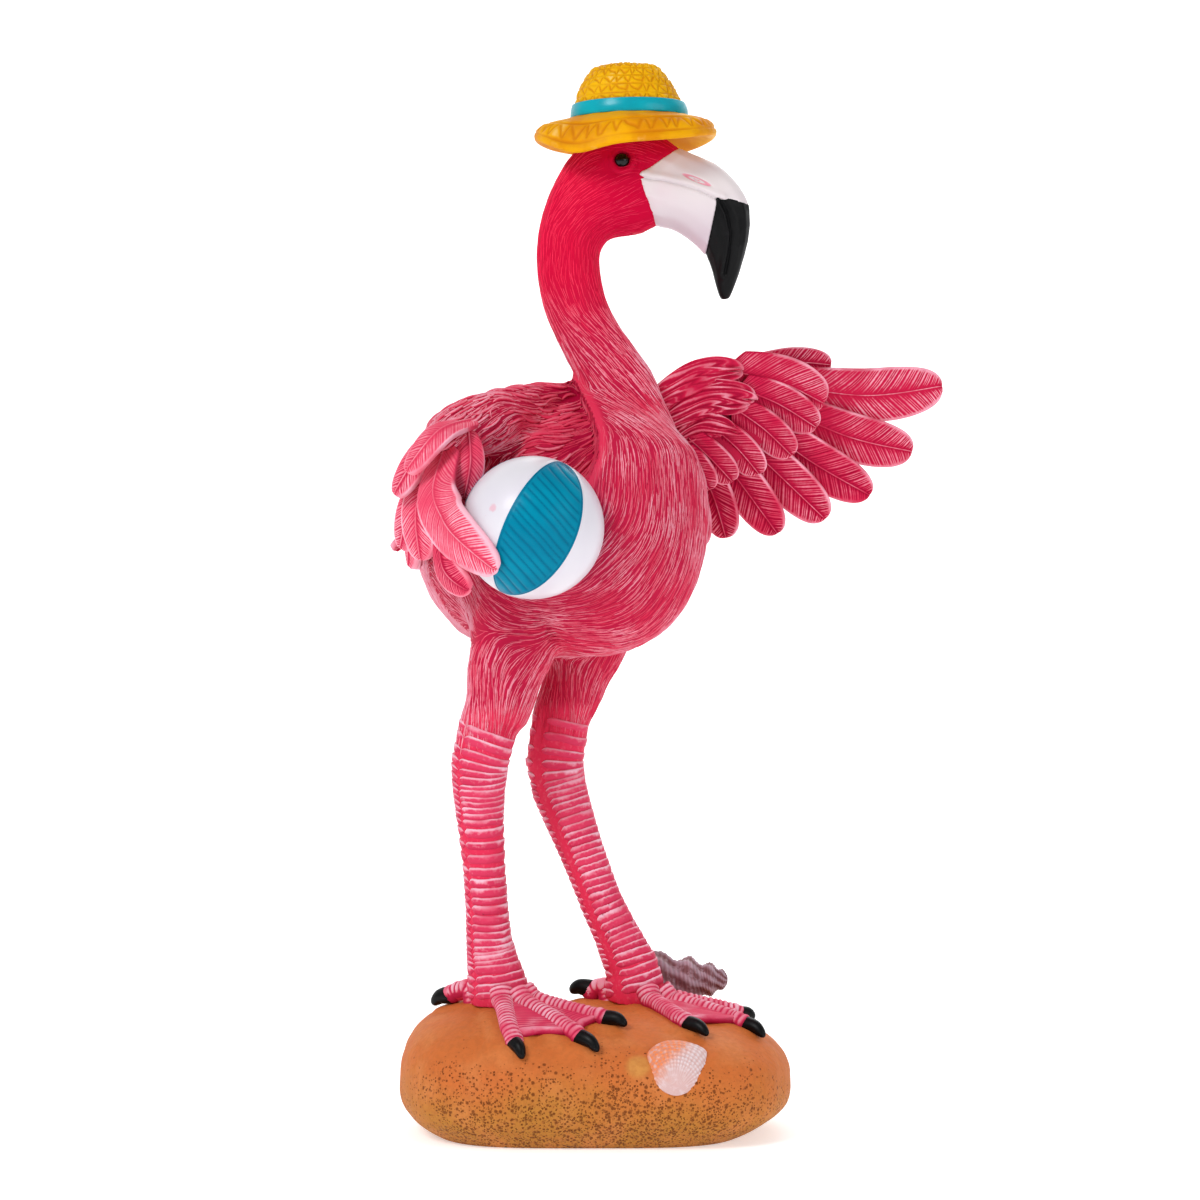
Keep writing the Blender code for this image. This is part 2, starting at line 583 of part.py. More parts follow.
def web_rings(ankle, root_a, root_b):
    """A web between two toes, laid over the mound, with a hollowed front edge."""
    rings = []
    for i in range(5):
        v = i / 4
        front = [root_a[k] + (root_b[k] - root_a[k]) * v for k in (0, 1)]
        reach = 0.93 - 0.42 * v * (1 - v)
        row = []
        for t in (0.12, 0.4, 0.7, 1.0):
            x = ankle[0] + (front[0] - ankle[0]) * t * reach
            y = ankle[1] + (front[1] - ankle[1]) * t * reach
            row.append(Vector((x, y, mound_top(x, y))))
        top = [point + UP * (GAP + WEB_THICKNESS + 2.0 * (1 - k / 3)) for k, point in enumerate(row)]
        low = [point - UP * 3 for point in row]
        rings.append(top + low[::-1])
    return rings


def make_foot(side, plan, shank_rings, parts, cutters):
    ankle = plan["ankle"]
    ground = mound_top(*ankle)
    shank_end = shank_rings[-1]
    post = [moved(shank_end, -UP * GAP)]
    for rise, half_x, half_y in ((6.0, 9.0, 8.2), (2.5, 9.2, 8.2), (-1.5, 8.0, 7.4)):
        post.append(ellipse(Vector((*ankle, ground + rise)), Vector((-half_x, 0, 0)),
                            Vector((0, -half_y, 0)), len(shank_end)))
    foot = solid(f"foot_{side}", post, "pink", parts)
    ground_cutter = solid(f"ground_{side}", mound_rings(GAP), "sand", cutters)
    toes = [(root, tip, TOE_RADIUS, TOE_LIFTS) for root, tip in plan["toes"]]
    toes.append((*plan["hind"], HIND_TOE_RADIUS, HIND_TOE_LIFTS))
    for number, (root, tip, radius, lifts) in enumerate(toes, 1):
        path = toe_path(ankle, root, lifts)
        root_ring = (len(path) - 1) * 2
        path += toe_path(root, tip, [lifts[-1] * share for share in (1.0, 0.95, 0.35)])[1:]
        stations = [(*point, radius * grow, radius * grow) for point, grow in zip(path, TOE_TAPER)]
        rings = tube_rings(stations, UP, 8)
        toe = solid(f"toe_{side}_{number}", rings[:root_ring + 1], "pink", cutters)
        combine(foot, toe, "UNION")
        claw_rings = [claw_base(rings[root_ring], rings[root_ring + 1])] + rings[root_ring + 1:]
        claw = solid(f"claw_{side}_{number}", claw_rings, "black", parts)
        combine(claw, ground_cutter, "DIFFERENCE")
    for number, (first, second) in enumerate(zip(plan["toes"], plan["toes"][1:]), 1):
        web = web_rings(ankle, first[0], second[0])
        combine(foot, solid(f"web_{side}_{number}", web, "pink", cutters), "UNION")
    combine(foot, ground_cutter, "DIFFERENCE", "MANIFOLD")
    settle(foot)


def claw_base(ring, following):
    """The claw's first ring: the toe's last one, a gap further on and a little smaller."""
    centre = sum(ring, Vector()) / len(ring)
    ahead = (sum(following, Vector()) / len(following) - centre).normalized()
    square = (ring[0] - centre).cross(ring[len(ring) // 4] - centre).normalized()
    square *= math.copysign(1.0, square.dot(ahead))
    return [centre + (point - centre) * 0.94 + square * GAP for point in ring]


def make_shells(parts, cutters):
    facing = SCALLOP_FACING.normalized()
    side = Vector((1.0, 0.0, 0.0))
    side = (side - facing * side.dot(facing)).normalized()
    rise = facing.cross(side)
    if rise.z < 0:
        rise = -rise
    rings = []
    for share, height in ((1.0, -2.5), (1.0, 0.8), (0.86, 2.4), (0.6, 3.6), (0.25, SCALLOP_DOME)):
        rings.append(ellipse(Vector(SCALLOP_CENTRE) + facing * height,
                             side * SCALLOP_HALF_WIDTH * share, rise * SCALLOP_HALF_HEIGHT * share, 16))
    scallop = solid("shell_scallop", rings, "shell", parts)
    stations = [(x, y, z, radius, radius) for x, y, z, radius in WHELK]
    whelk = solid("shell_whelk", tube_rings(stations, UP, 10, spans=1), "grape", parts)
    ground = solid("ground_shells", mound_rings(GAP), "sand", cutters)
    combine(scallop, ground, "DIFFERENCE")
    combine(whelk, ground, "DIFFERENCE")


def build():
    clear_scene()
    parts = make_collection("Flamingo figurine")
    cutters = make_collection("Cutters")
    solid("base", mound_rings(), "sand", parts)
    make_shells(parts, cutters)
    for side, plan in FEET.items():
        shank_rings = tube_rings(SHANKS[side], TOWARD_VIEWER, 14, spans=1)
        solid(f"shank_{side}", shank_rings, "pink", parts)
        make_foot(side, plan, shank_rings, parts, cutters)
        thigh_rings = tube_rings(THIGHS[side], TOWARD_VIEWER, 14)
        thigh_rings[-1] = moved(shank_rings[0], UP * GAP)
        thigh = solid(f"thigh_{side}", thigh_rings, "pink", parts)
        combine(thigh, solid(f"thigh_{side}_from_trunk", trunk_rings(GAP), "pink", cutters), "DIFFERENCE")
    trunk = solid("trunk", trunk_rings(), "pink", parts)
    ball("ball", BALL_CENTRE, BALL_RADIUS, "white", parts, 22, 11)
    around_ball = ball("ball_room", BALL_CENTRE, BALL_RADIUS + GAP, "white", cutters, 22, 11)
    combine(trunk, around_ball, "DIFFERENCE")
    head_rings = make_head_and_bill(parts, cutters)
    make_hat(parts, cutters, head_rings)
    around_trunk = solid("trunk_room", trunk_rings(GAP), "pink", cutters)
    neck_stop = HEAD_STARTS_AT * RINGS_PER_SPAN
    around_neck = solid("neck_room", [grow_ring(r) for r in pair_rings(NECK_TO_BILL)[:neck_stop]],
                        "pink", cutters)
    make_wing("wing_left", LEFT_ARM, LEFT_FEATHERS, parts, cutters, [around_trunk, around_neck])
    make_wing("wing_right", RIGHT_ARM, RIGHT_FEATHERS, parts, cutters,
              [around_trunk, around_neck, around_ball])
    make_tail(parts, cutters)


build()
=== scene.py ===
"""Flamingo figurine, dressed: carved strokes, feather barbs, leg scutes, straw weave and paint.

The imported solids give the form. Here one skin replaces the flesh, and raised strokes, feathers,
scutes and toe ridges lie on it; hat, ball, bill, claws, shells and mound get their own relief.
Lengths are in millimetres until a mesh is made; materials measure in metres.
"""
import math

import bmesh
import bpy
import numpy as np
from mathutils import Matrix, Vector, noise
from mathutils.bvhtree import BVHTree
from mathutils.geometry import barycentric_transform


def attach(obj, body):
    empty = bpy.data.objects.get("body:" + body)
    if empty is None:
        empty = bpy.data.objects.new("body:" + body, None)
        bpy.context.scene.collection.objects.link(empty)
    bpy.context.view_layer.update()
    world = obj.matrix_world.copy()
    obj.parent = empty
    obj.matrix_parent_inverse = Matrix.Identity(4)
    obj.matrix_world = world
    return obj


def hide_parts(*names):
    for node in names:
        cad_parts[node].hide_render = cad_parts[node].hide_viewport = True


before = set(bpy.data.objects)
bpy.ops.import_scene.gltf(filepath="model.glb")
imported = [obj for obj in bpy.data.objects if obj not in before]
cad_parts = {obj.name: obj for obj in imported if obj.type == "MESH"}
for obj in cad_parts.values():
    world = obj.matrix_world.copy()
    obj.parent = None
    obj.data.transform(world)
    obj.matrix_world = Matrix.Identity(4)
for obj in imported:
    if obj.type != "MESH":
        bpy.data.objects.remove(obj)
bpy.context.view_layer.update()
MM = 0.001
RANDOM = np.random.default_rng(7)


# ---- numbers and curves ----
def unit(vectors):
    return vectors / np.maximum(np.linalg.norm(vectors, axis=-1, keepdims=True), 1e-9)


def smooth_step(low, high, value):
    share = np.clip((value - low) / (high - low), 0.0, 1.0)
    return share * share * (3 - 2 * share)


def curve(stations, count):
    """Smooth curve through the stations, sampled evenly in its parameter."""
    stations = np.array(stations, float)
    last = len(stations) - 1
    at = np.linspace(0, last, count)
    k = np.minimum(at.astype(int), last - 1)
    t = (at - k)[:, None]
    a, b, c, d = (stations[np.clip(k + j, 0, last)] for j in (-1, 0, 1, 2))
    return 0.5 * (2 * b + (c - a) * t + (2 * a - 5 * b + 4 * c - d) * t ** 2
                  + (3 * b - a - 3 * c + d) * t ** 3)


def read_curve(fine, share):
    """Points of a finely sampled curve at the given shares of its length."""
    at = np.clip(share, 0, 1) * (len(fine) - 1)
    k = np.minimum(at.astype(int), len(fine) - 2)
    t = (at - k)[..., None]
    return fine[k] * (1 - t) + fine[k + 1] * t


def sides_of(path, up):
    """The ways aside and up along a path, square to it; the given up is only roughly so."""
    ahead = unit(np.gradient(path, axis=0))
    side = unit(np.cross(ahead, up))
    return side, np.cross(side, ahead)


def far_from_line(points, line, axes=(0, 2)):
    """Distance of points from a line drawn in the XZ plane, and which side of it they are on."""
    x, z = points[:, axes[0]], points[:, axes[1]]
    best = np.full(len(x), 1e9)
    side = np.zeros(len(x))
    for (ax, az), (bx, bz) in zip(line, line[1:]):
        dx, dz = bx - ax, bz - az
        t = np.clip(((x - ax) * dx + (z - az) * dz) / (dx * dx + dz * dz), 0, 1)
        far = np.hypot(x - ax - dx * t, z - az - dz * t)
        nearer = far < best
        side = np.where(nearer, np.sign(dx * (z - az) - dz * (x - ax)), side)
        best = np.minimum(best, far)
    return best, side


def length_of(path):
    return np.linalg.norm(np.diff(path, axis=0), axis=1).sum()


def bumps(points, size, seed=0.0):
    """Smooth noise between about -1 and 1, one value for each point."""
    return np.array([noise.noise(Vector(p) / size + Vector((seed, 2 * seed, 3 * seed)))
                     for p in points.tolist()])


# ---- making meshes ----
ROOTS = []                      # where every tuft of the coat starts; its points keep the number


def make_piece(name, points, face_sets, material, **values):
    """An object from points and faces; values are kept on the points for its material."""
    mesh = bpy.data.meshes.new(name)
    mesh.vertices.add(len(points))
    mesh.vertices.foreach_set("co", (points * MM).astype(np.float32).ravel())
    corners = np.concatenate([faces.ravel() for faces in face_sets]).astype(np.int32)
    sizes = np.concatenate([np.full(len(faces), faces.shape[1]) for faces in face_sets])
    mesh.loops.add(len(corners))
    mesh.loops.foreach_set("vertex_index", corners)
    mesh.polygons.add(len(sizes))
    mesh.polygons.foreach_set("loop_start", (np.cumsum(sizes) - sizes).astype(np.int32))
    mesh.update(calc_edges=True)
    mesh.validate()
    mesh.shade_smooth()
    keep_values(mesh, **values)
    mesh.materials.append(material)
    obj = bpy.data.objects.new(name, mesh)
    bpy.context.scene.collection.objects.link(obj)
    return obj


def keep_values(mesh, **values):
    for key, array in values.items():
        layer = mesh.attributes.get(key) or mesh.attributes.new(key, "FLOAT", "POINT")
        layer.data.foreach_set("value", np.asarray(array, np.float32))


def tube(rows, capped=True):
    """Faces of a closed tube over rows of equal rings, which are flattened into one list."""
    count, around = rows.shape[:2]
    index = np.arange(count * around).reshape(count, around)
    nxt = np.roll(index, -1, axis=1)
    quads = np.stack([index[:-1], nxt[:-1], nxt[1:], index[1:]], axis=-1).reshape(-1, 4)
    points = rows.reshape(-1, 3)
    if not capped:
        return points, [quads]
    ends = np.stack([rows[0].mean(axis=0), rows[-1].mean(axis=0)])
    first, last = len(points), len(points) + 1
    fans = [np.stack([nxt[0], index[0], np.full(around, first)], axis=-1),
            np.stack([index[-1], nxt[-1], np.full(around, last)], axis=-1)]
    return np.vstack([points, ends]), [quads] + fans


def rings(path, sides, angle, wide, tall):
    """Rows of rings round a path, wide aside and tall upward."""
    side, up = sides
    return (path[:, None] + side[:, None] * (wide * np.cos(angle))[..., None]
            + up[:, None] * (tall * np.sin(angle))[..., None])


def with_ends(values, *ends):
    """The values on a tube's rows, and those of its two end points."""
    return np.append(np.ravel(values), ends)


class Heap:
    """Closed shapes of the coat gathered into one mesh, with the values of their points."""

    def __init__(self):
        self.points, self.triangles, self.quads = [], [], []
        self.values = {key: [] for key in ("crest", "pale", "tone", "root")}
        self.count = 0

    def add(self, points, face_sets, **values):
        for faces in face_sets:
            (self.triangles if faces.shape[1] == 3 else self.quads).append(faces + self.count)
        self.points.append(points)
        self.count += len(points)
        for key, kept in self.values.items():
            kept.append(np.broadcast_to(np.asarray(values[key], float), (len(points),)))

    def make(self, name, material):
        sets = [np.vstack(faces) for faces in (self.triangles, self.quads) if faces]
        values = {key: np.concatenate(kept) for key, kept in self.values.items()}
        return make_piece(name, np.vstack(self.points), sets, material, **values)


def dress(obj, slot, *nodes):
    """A finished piece rides on the part's one body and stands for the given solids."""
    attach(obj, "root")
    if nodes:
        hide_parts(*nodes)


def select_only(obj):
    bpy.ops.object.select_all(action="DESELECT")
    obj.select_set(True)
    bpy.context.view_layer.objects.active = obj


def merged_copy(node, name):
    """A copy of a solid's mesh, with its loose triangles joined."""
    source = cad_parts[node]
    obj = bpy.data.objects.new(name, source.data.copy())
    bpy.context.scene.collection.objects.link(obj)
    obj.data.materials.clear()
    shape = bmesh.new()
    shape.from_mesh(obj.data)
    bmesh.ops.remove_doubles(shape, verts=shape.verts, dist=1e-6)
    shape.to_mesh(obj.data)
    shape.free()
    return obj


def apply(obj, kind, **settings):
    select_only(obj)
    modifier = obj.modifiers.new(kind.lower(), kind)
    for key, value in settings.items():
        setattr(modifier, key, value)
    bpy.ops.object.modifier_apply(modifier=modifier.name)


def read_all(items, key, kind=np.float32, width=1):
    """A number, or a row of numbers, for each item of a mesh."""
    values = np.empty(len(items) * width, kind)
    items.foreach_get(key, values)
    return values.reshape(-1, width) if width > 1 else values


def points_of(mesh):
    return read_all(mesh.vertices, "co", width=3).astype(float) / MM


def set_points(mesh, points):
    mesh.vertices.foreach_set("co", (points * MM).astype(np.float32).ravel())
    mesh.update()


def normals_of(mesh):
    return read_all(mesh.vertex_normals, "vector", width=3).astype(float)


def swell(mesh, amount):
    """Move a mesh's points out along their normals."""
    set_points(mesh, points_of(mesh) + normals_of(mesh) * amount)


def paint(mesh, material):
    """One smooth material all over a mesh."""
    mesh.materials.clear()
    mesh.materials.append(material)
    mesh.polygons.foreach_set("material_index", np.zeros(len(mesh.polygons), np.int32))
    mesh.shade_smooth()


def sphere(name, centre, radius, segments, rows, lean=0.0):
    bpy.ops.mesh.primitive_uv_sphere_add(segments=segments, ring_count=rows, radius=radius * MM,
                                         location=np.array(centre) * MM, rotation=(0, lean, 0))
    obj = bpy.context.object
    obj.name = name
    bpy.ops.object.transform_apply()
    return obj


def relax(mesh, rounds, amount, back=0.62):
    """Smooth a mesh; amount is a number or one for each point.

    Every other round swells it again by the share 'back', which keeps its size; 0 melts creases."""
    points = points_of(mesh)
    a, b = read_all(mesh.edges, "vertices", np.int32, 2).T
    degree = np.bincount(a, minlength=len(points)) + np.bincount(b, minlength=len(points))
    for i in range(rounds):
        mean = np.empty_like(points)
        for axis in range(3):
            mean[:, axis] = (np.bincount(a, points[b, axis], len(points))
                             + np.bincount(b, points[a, axis], len(points)))
        step = (0.6, -back)[i % 2] * np.asarray(amount)
        points += (mean / degree[:, None] - points) * (step[:, None] if np.ndim(step) else step)
    set_points(mesh, points)


# ---- materials ----
class Graph:
    """Short ways to add shader nodes to one node tree."""

    def __init__(self, tree):
        self.tree = tree

    def node(self, kind, inputs=(), **settings):
        made = self.tree.nodes.new(kind)
        for key, value in settings.items():
            setattr(made, key, value)
        for key, value in dict(inputs).items():
            self.feed(made.inputs[key], value)
        return made

    def feed(self, socket, value):
        if isinstance(value, bpy.types.NodeSocket):
            self.tree.links.new(value, socket)
        else:
            socket.default_value = value

    def value(self, name):
        return self.node("ShaderNodeAttribute", attribute_name=name).outputs["Fac"]

    def place(self):
        return self.node("ShaderNodeTexCoord").outputs["Object"]

    def split(self, vector):
        return self.node("ShaderNodeSeparateXYZ", {0: vector}).outputs

    def height(self):
        return self.split(self.place())[2]

    def far_from(self, spot):
        return self.node("ShaderNodeVectorMath", {0: self.place(), 1: spot},
                         operation="DISTANCE").outputs["Value"]

    def math(self, operation, *values, clamp=False):
        return self.node("ShaderNodeMath", dict(enumerate(values)), operation=operation,
                         use_clamp=clamp).outputs[0]

    def times(self, first, second, clamp=False):
        return self.math("MULTIPLY", first, second, clamp=clamp)

    def plus(self, first, second):
        return self.math("ADD", first, second)

    def minus(self, first, second):
        return self.math("SUBTRACT", first, second)

    def between(self, value, low, high, to_low=0.0, to_high=1.0):
        return self.node("ShaderNodeMapRange", {0: value, 1: low, 2: high, 3: to_low, 4: to_high},
                         interpolation_type="SMOOTHSTEP").outputs[0]

    def mix(self, share, first, second):
        made = self.node("ShaderNodeMix", data_type="RGBA")
        self.feed(made.inputs[0], share)
        self.feed(made.inputs[6], rgba(first))
        self.feed(made.inputs[7], rgba(second))
        return made.outputs[2]

    def noise(self, scale, detail=3.0):
        return self.node("ShaderNodeTexNoise", {"Vector": self.place(), "Scale": scale,
                                                "Detail": detail}).outputs[0]

    def clouds(self, scale, low, high, first, second, share=1.0):
        """Soft patches of the second colour on the first."""
        return self.mix(self.times(self.between(self.noise(scale), low, high), share), first, second)

    def bump(self, height, strength, distance):
        return self.node("ShaderNodeBump", {"Height": height, "Strength": strength,
                                            "Distance": distance}).outputs[0]


class Paint(Graph):
    """A material, its graph and its Principled shader, with plain numbers set on the shader."""

    def __init__(self, name, **plain):
        self.material = bpy.data.materials.new(name)
        self.material.use_nodes = True
        super().__init__(self.material.node_tree)
        self.shader = self.tree.nodes["Principled BSDF"]
        self.set(**plain)

    def set(self, **values):
        for key, value in values.items():
            self.feed(self.shader.inputs[key.replace("_", " ")], rgba(value))

    def finish(self, colour, height, strength, distance):
        self.set(Base_Color=colour, Normal=self.bump(height, strength, distance))
        return self.material


def rgba(colour):
    if isinstance(colour, tuple) and len(colour) == 3:
        return (*colour, 1.0)
    return colour


def dry_brush_group():
    """Deep colour in the grooves, middle on the slopes, pale paint dragged over the crests."""
    tree = bpy.data.node_groups.new("dry brushed paint", "ShaderNodeTree")
    for way, kind, keys in (("INPUT", "Float", ("Crest", "Pale", "Tone", "Start", "End")),
                            ("INPUT", "Color", ("Deep", "Middle", "Light")),
                            ("OUTPUT", "Color", ("Color",)),
                            ("OUTPUT", "Float", ("Roughness", "Grain"))):
        for key in keys:
            tree.interface.new_socket(key, in_out=way, socket_type=f"NodeSocket{kind}")
    g = Graph(tree)
    given, out = g.node("NodeGroupInput").outputs, g.node("NodeGroupOutput")
    grain = g.noise(900.0, 2.0)
    slope = g.between(g.plus(given["Crest"], g.times(given["Tone"], 0.35)), 0.05, 0.75)
    base = g.mix(slope, given["Deep"], given["Middle"])
    uneven = g.plus(given["Crest"], g.times(g.minus(grain, 0.5), 0.5))
    crest = g.node("ShaderNodeMapRange", {0: uneven, 1: given["Start"], 2: given["End"]}).outputs[0]
    amount = g.times(crest, g.times(given["Pale"], g.between(g.noise(70.0), 0.2, 0.5)))
    g.feed(out.inputs["Color"], g.mix(amount, base, given["Light"]))
    g.feed(out.inputs["Roughness"], g.between(amount, 0.0, 1.0, 0.40, 0.58))
    g.feed(out.inputs["Grain"], grain)
    return tree


DRY_BRUSH = dry_brush_group()
CHEEK = (0.013, 0.0, 0.275)


def flesh_paint(name, deep, middle, light, start=0.5, end=0.9):
    """The bird's pink; the head is a purer crimson, most of all on its cheek."""
    g = Paint(name, Specular_IOR_Level=0.03)
    head = g.between(g.height(), 0.232, 0.258)
    cheek = g.between(g.far_from(CHEEK), 0.024, 0.008)
    middle = g.mix(head, middle, (0.82, 0.014, 0.070))
    brush = g.node("ShaderNodeGroup", node_tree=DRY_BRUSH)
    for key, value in {"Crest": g.value("crest"), "Pale": g.value("pale"), "Tone": g.value("tone"),
                       "Deep": g.mix(head, deep, (0.48, 0.0006, 0.028)),
                       "Middle": g.mix(g.times(cheek, 0.85), middle, (0.62, 0.0006, 0.050)),
                       "Light": g.mix(head, light, (0.93, 0.065, 0.14)),
                       "Start": start, "End": end}.items():
        g.feed(brush.inputs[key], value)
    g.set(Roughness=brush.outputs["Roughness"])
    return g.finish(brush.outputs["Color"], brush.outputs["Grain"], 0.25, 0.0002)


FLESH = flesh_paint("pink paint over carved strokes", (0.40, 0.004, 0.040), (0.70, 0.032, 0.088),
                    (0.90, 0.42, 0.52))
PLUMAGE = flesh_paint("pink paint over feathers", (0.31, 0.001, 0.028), (0.57, 0.012, 0.060),
                      (0.86, 0.36, 0.46), 0.5, 0.95)
WORN = flesh_paint("pink paint over worn feathers", (0.44, 0.006, 0.045), (0.76, 0.065, 0.135),
                   (0.90, 0.46, 0.56), 0.4)
SCUTES = flesh_paint("pink paint over scutes", (0.42, 0.008, 0.050), (0.68, 0.050, 0.120),
                     (0.85, 0.50, 0.60), 0.4, 0.85)


def black_paint():
    g = Paint("black claw paint", Specular_IOR_Level=0.14)
    scratches = g.noise(260.0, 4.0)
    g.set(Roughness=g.between(scratches, 0.2, 0.8, 0.3, 0.5))
    colour = g.mix(g.between(scratches, 0.55, 0.85), (0.002, 0.002, 0.0025), (0.008, 0.008, 0.009))
    return g.finish(colour, scratches, 0.15, 0.0002)


BLACK = black_paint()


# ---- the skin ----
ARM_RIGHT = [(-2, -2, 213, 10, 11.4), (-13, -8, 213.4, 10.5, 10.6), (-25, -17, 212.4, 10, 9.3),
             (-36.5, -27, 208.4, 9.6, 9.0), (-42.6, -36, 204.2, 8.1, 7.8), (-42.5, -42, 199, 5.2, 5.5)]
ARM_LEFT = [(12, 4, 201, 15, 8), (21, 9, 206, 16.5, 6.4), (34, 15.5, 213.2, 16.5, 4.4),
            (48, 23, 220.5, 14, 3.3), (60, 29, 224.4, 11, 2.6), (67, 32.5, 225.2, 7, 2.2)]
EYE = (8.0, 289.2)              # the eyes' middle, seen from the side
COAT_DEPTH = 0.25               # how far the skin lies inside the solids
OVERLAP = 0.4                   # how far its pieces reach into each other before they are joined
SKIN_VOXEL = 1.12
MELTING = [                     # rounds; places where creases melt, and their reach
    (90, [(-34, -24, 152, 15), (-41, -14, 153, 15), (-8, 2, 146, 12), (-6, 22, 222, 12)]),
    (300, [(-38, -16, 152, 14)]),
    (260, [(9, -23, 216, 17), (16, -22, 208, 14)]),
]
FLESH_NODES = ["head", "neck", "trunk"] + [f"{part}_{side}" for part in ("thigh", "shank", "foot")
                                           for side in ("left", "right")]


def arm_piece(name, stations, up):
    """The arm of a wing: an oval tube along its stations."""
    path = curve(stations, 40)
    angle = np.linspace(0, math.tau, 36, endpoint=False)
    rows = rings(path[:, :3], sides_of(path[:, :3], up), angle, path[:, 3:4], path[:, 4:5])
    return make_piece(name, *tube(rows), FLESH)


def make_skin():
    """One closed skin over head, neck, trunk, arms, legs and feet."""
    pieces = [merged_copy(node, f"{node}_copy") for node in FLESH_NODES]
    for piece in pieces:
        swell(piece.data, OVERLAP)
    pieces.append(arm_piece("arm_right_copy", ARM_RIGHT, (0, 0, 1)))
    pieces.append(arm_piece("arm_left_copy", ARM_LEFT, (0, -1, 0)))
    select_only(pieces[0])
    for piece in pieces:
        piece.select_set(True)
    bpy.ops.object.join()
    skin = pieces[0]
    skin.name = skin.data.name = "skin"
    apply(skin, "REMESH", mode="VOXEL", voxel_size=SKIN_VOXEL * MM)
    z = points_of(skin.data)[:, 2]
    relax(skin.data, 60, smooth_step(45, 110, z) * 0.75 + 0.25)
    for rounds, places in MELTING:
        relax(skin.data, rounds, melting(points_of(skin.data), places), back=0.0)
    swell(skin.data, -(OVERLAP + COAT_DEPTH))
    refine(skin)
    paint(skin.data, FLESH)
    return skin


def melting(points, places):
    """How far creases melt: most at the middle of each place, none beyond its reach."""
    share = np.zeros(len(points))
    for *place, reach in places:
        far = np.linalg.norm(points - place, axis=1)
        share = np.maximum(share, smooth_step(reach, reach * 0.5, far))
    return share


def refine(skin):
    """Halve the faces of the shanks and feet, round the eyes and beside the neck's edge."""
    shape = bmesh.new()
    shape.from_mesh(skin.data)
    eyes = [Vector((EYE[0], sign * 9.5, EYE[1])) for sign in (-1, 1)]
    edges = []
    for edge in shape.edges:
        middle = (edge.verts[0].co + edge.verts[1].co) / (2 * MM)
        crease = middle.y < 0 and abs(middle.x + 2) < 10 and 186 < middle.z < 228
        if middle.z < 60 or crease or any((middle - eye).length < 6.5 for eye in eyes):
            edges.append(edge)
    bmesh.ops.subdivide_edges(shape, edges=edges, cuts=1, use_grid_fill=True)
    bmesh.ops.triangulate(shape, faces=[face for face in shape.faces if len(face.verts) > 4])
    shape.to_mesh(skin.data)
    shape.free()
    relax(skin.data, 4, 0.7)


NECK_EDGE = [(-9.5, 231), (-6.4, 225), (-3.3, 218.8), (-0.6, 212.8), (1.1, 206.5), (1.1, 200.4),
             (-0.9, 195), (-6, 187)]


def hollow_beside_neck(points):
    """The shown flank lies deeper than the neck: it drops away along the neck's edge."""
    _, y, z = points.T
    far, side = far_from_line(points, NECK_EDGE)
    drop = 11.5 * smooth_step(-0.2, 1.2, far) * smooth_step(27, 3, far) * (side < 0)
    drop *= smooth_step(-3, -9, y) * smooth_step(184, 192, z) * (1 - 0.7 * smooth_step(214, 226, z))
    return points + np.column_stack([0 * drop, drop, 0 * drop])


def shade_and_highlight_by_neck(points):
    """How far the hollow by the neck is painted deep, a painted shade, and how smooth its edge is, with
    a painted highlight.
    """
    _, y, z = points.T
    far, side = far_from_line(points, NECK_EDGE)
    near = smooth_step(0, -6, y) * smooth_step(184, 190, z)
    return ((side < 0) * smooth_step(17, 2, far) * near * smooth_step(232, 224, z),
            (side > 0) * smooth_step(3.4, 0.8, far) * near * smooth_step(240, 230, z))


def eye_rims(points):
    """Height of a smooth raised ring round each eye, with a fine groove outside it."""
    lift = np.zeros(len(points))
    for sign in (-1, 1):
        far = np.linalg.norm(points - (EYE[0], sign * 9.8, EYE[1]), axis=1)
        lift += 0.45 * np.exp(-((far - 3.1) / 0.7) ** 2) - 0.2 * np.exp(-((far - 4.4) / 0.4) ** 2)
    return lift[:, None]


skin = make_skin()
swell(skin.data, eye_rims(points_of(skin.data)))
set_points(skin.data, hollow_beside_neck(points_of(skin.data)))


class Surface:
    """Nearest points and normals on a mesh."""

    def __init__(self, obj):
        mesh = obj.data
        mesh.calc_loop_triangles()
        self.triangles = read_all(mesh.loop_triangles, "vertices", np.int32, 3)
        self.points = points_of(mesh)
        self.tree = BVHTree.FromPolygons(self.points.tolist(), self.triangles.tolist())
        self.normals = normals_of(mesh)

    def land(self, points):
        """The nearest place on the mesh for each point, with a smooth normal there."""
        places = np.empty_like(points)
        corners = np.empty(len(points), int)
        for i, point in enumerate(points.tolist()):
            place, _, face, _ = self.tree.find_nearest(Vector(point))
            places[i] = place
            corners[i] = face
        triangles = self.triangles[corners]
        weights = 1 / (np.linalg.norm(self.points[triangles] - places[:, None], axis=2) + 0.05)
        normals = (self.normals[triangles] * weights[..., None]).sum(axis=1)
        return places, unit(normals)


SKIN = Surface(skin)


def scatter(count, inside):
    """Random places on the skin, evenly by area, where inside says so."""
    corners = SKIN.points[SKIN.triangles]
    area = np.linalg.norm(np.cross(corners[:, 1] - corners[:, 0], corners[:, 2] - corners[:, 0]), axis=1)
    area *= inside(corners.mean(axis=1))
    picked = RANDOM.choice(len(area), count, p=area / area.sum())
    u, v = RANDOM.random((2, count))
    flip = u + v > 1
    u[flip], v[flip] = 1 - u[flip], 1 - v[flip]
    a, b, c = (corners[picked, k] for k in range(3))
    return a + (b - a) * u[:, None] + (c - a) * v[:, None]


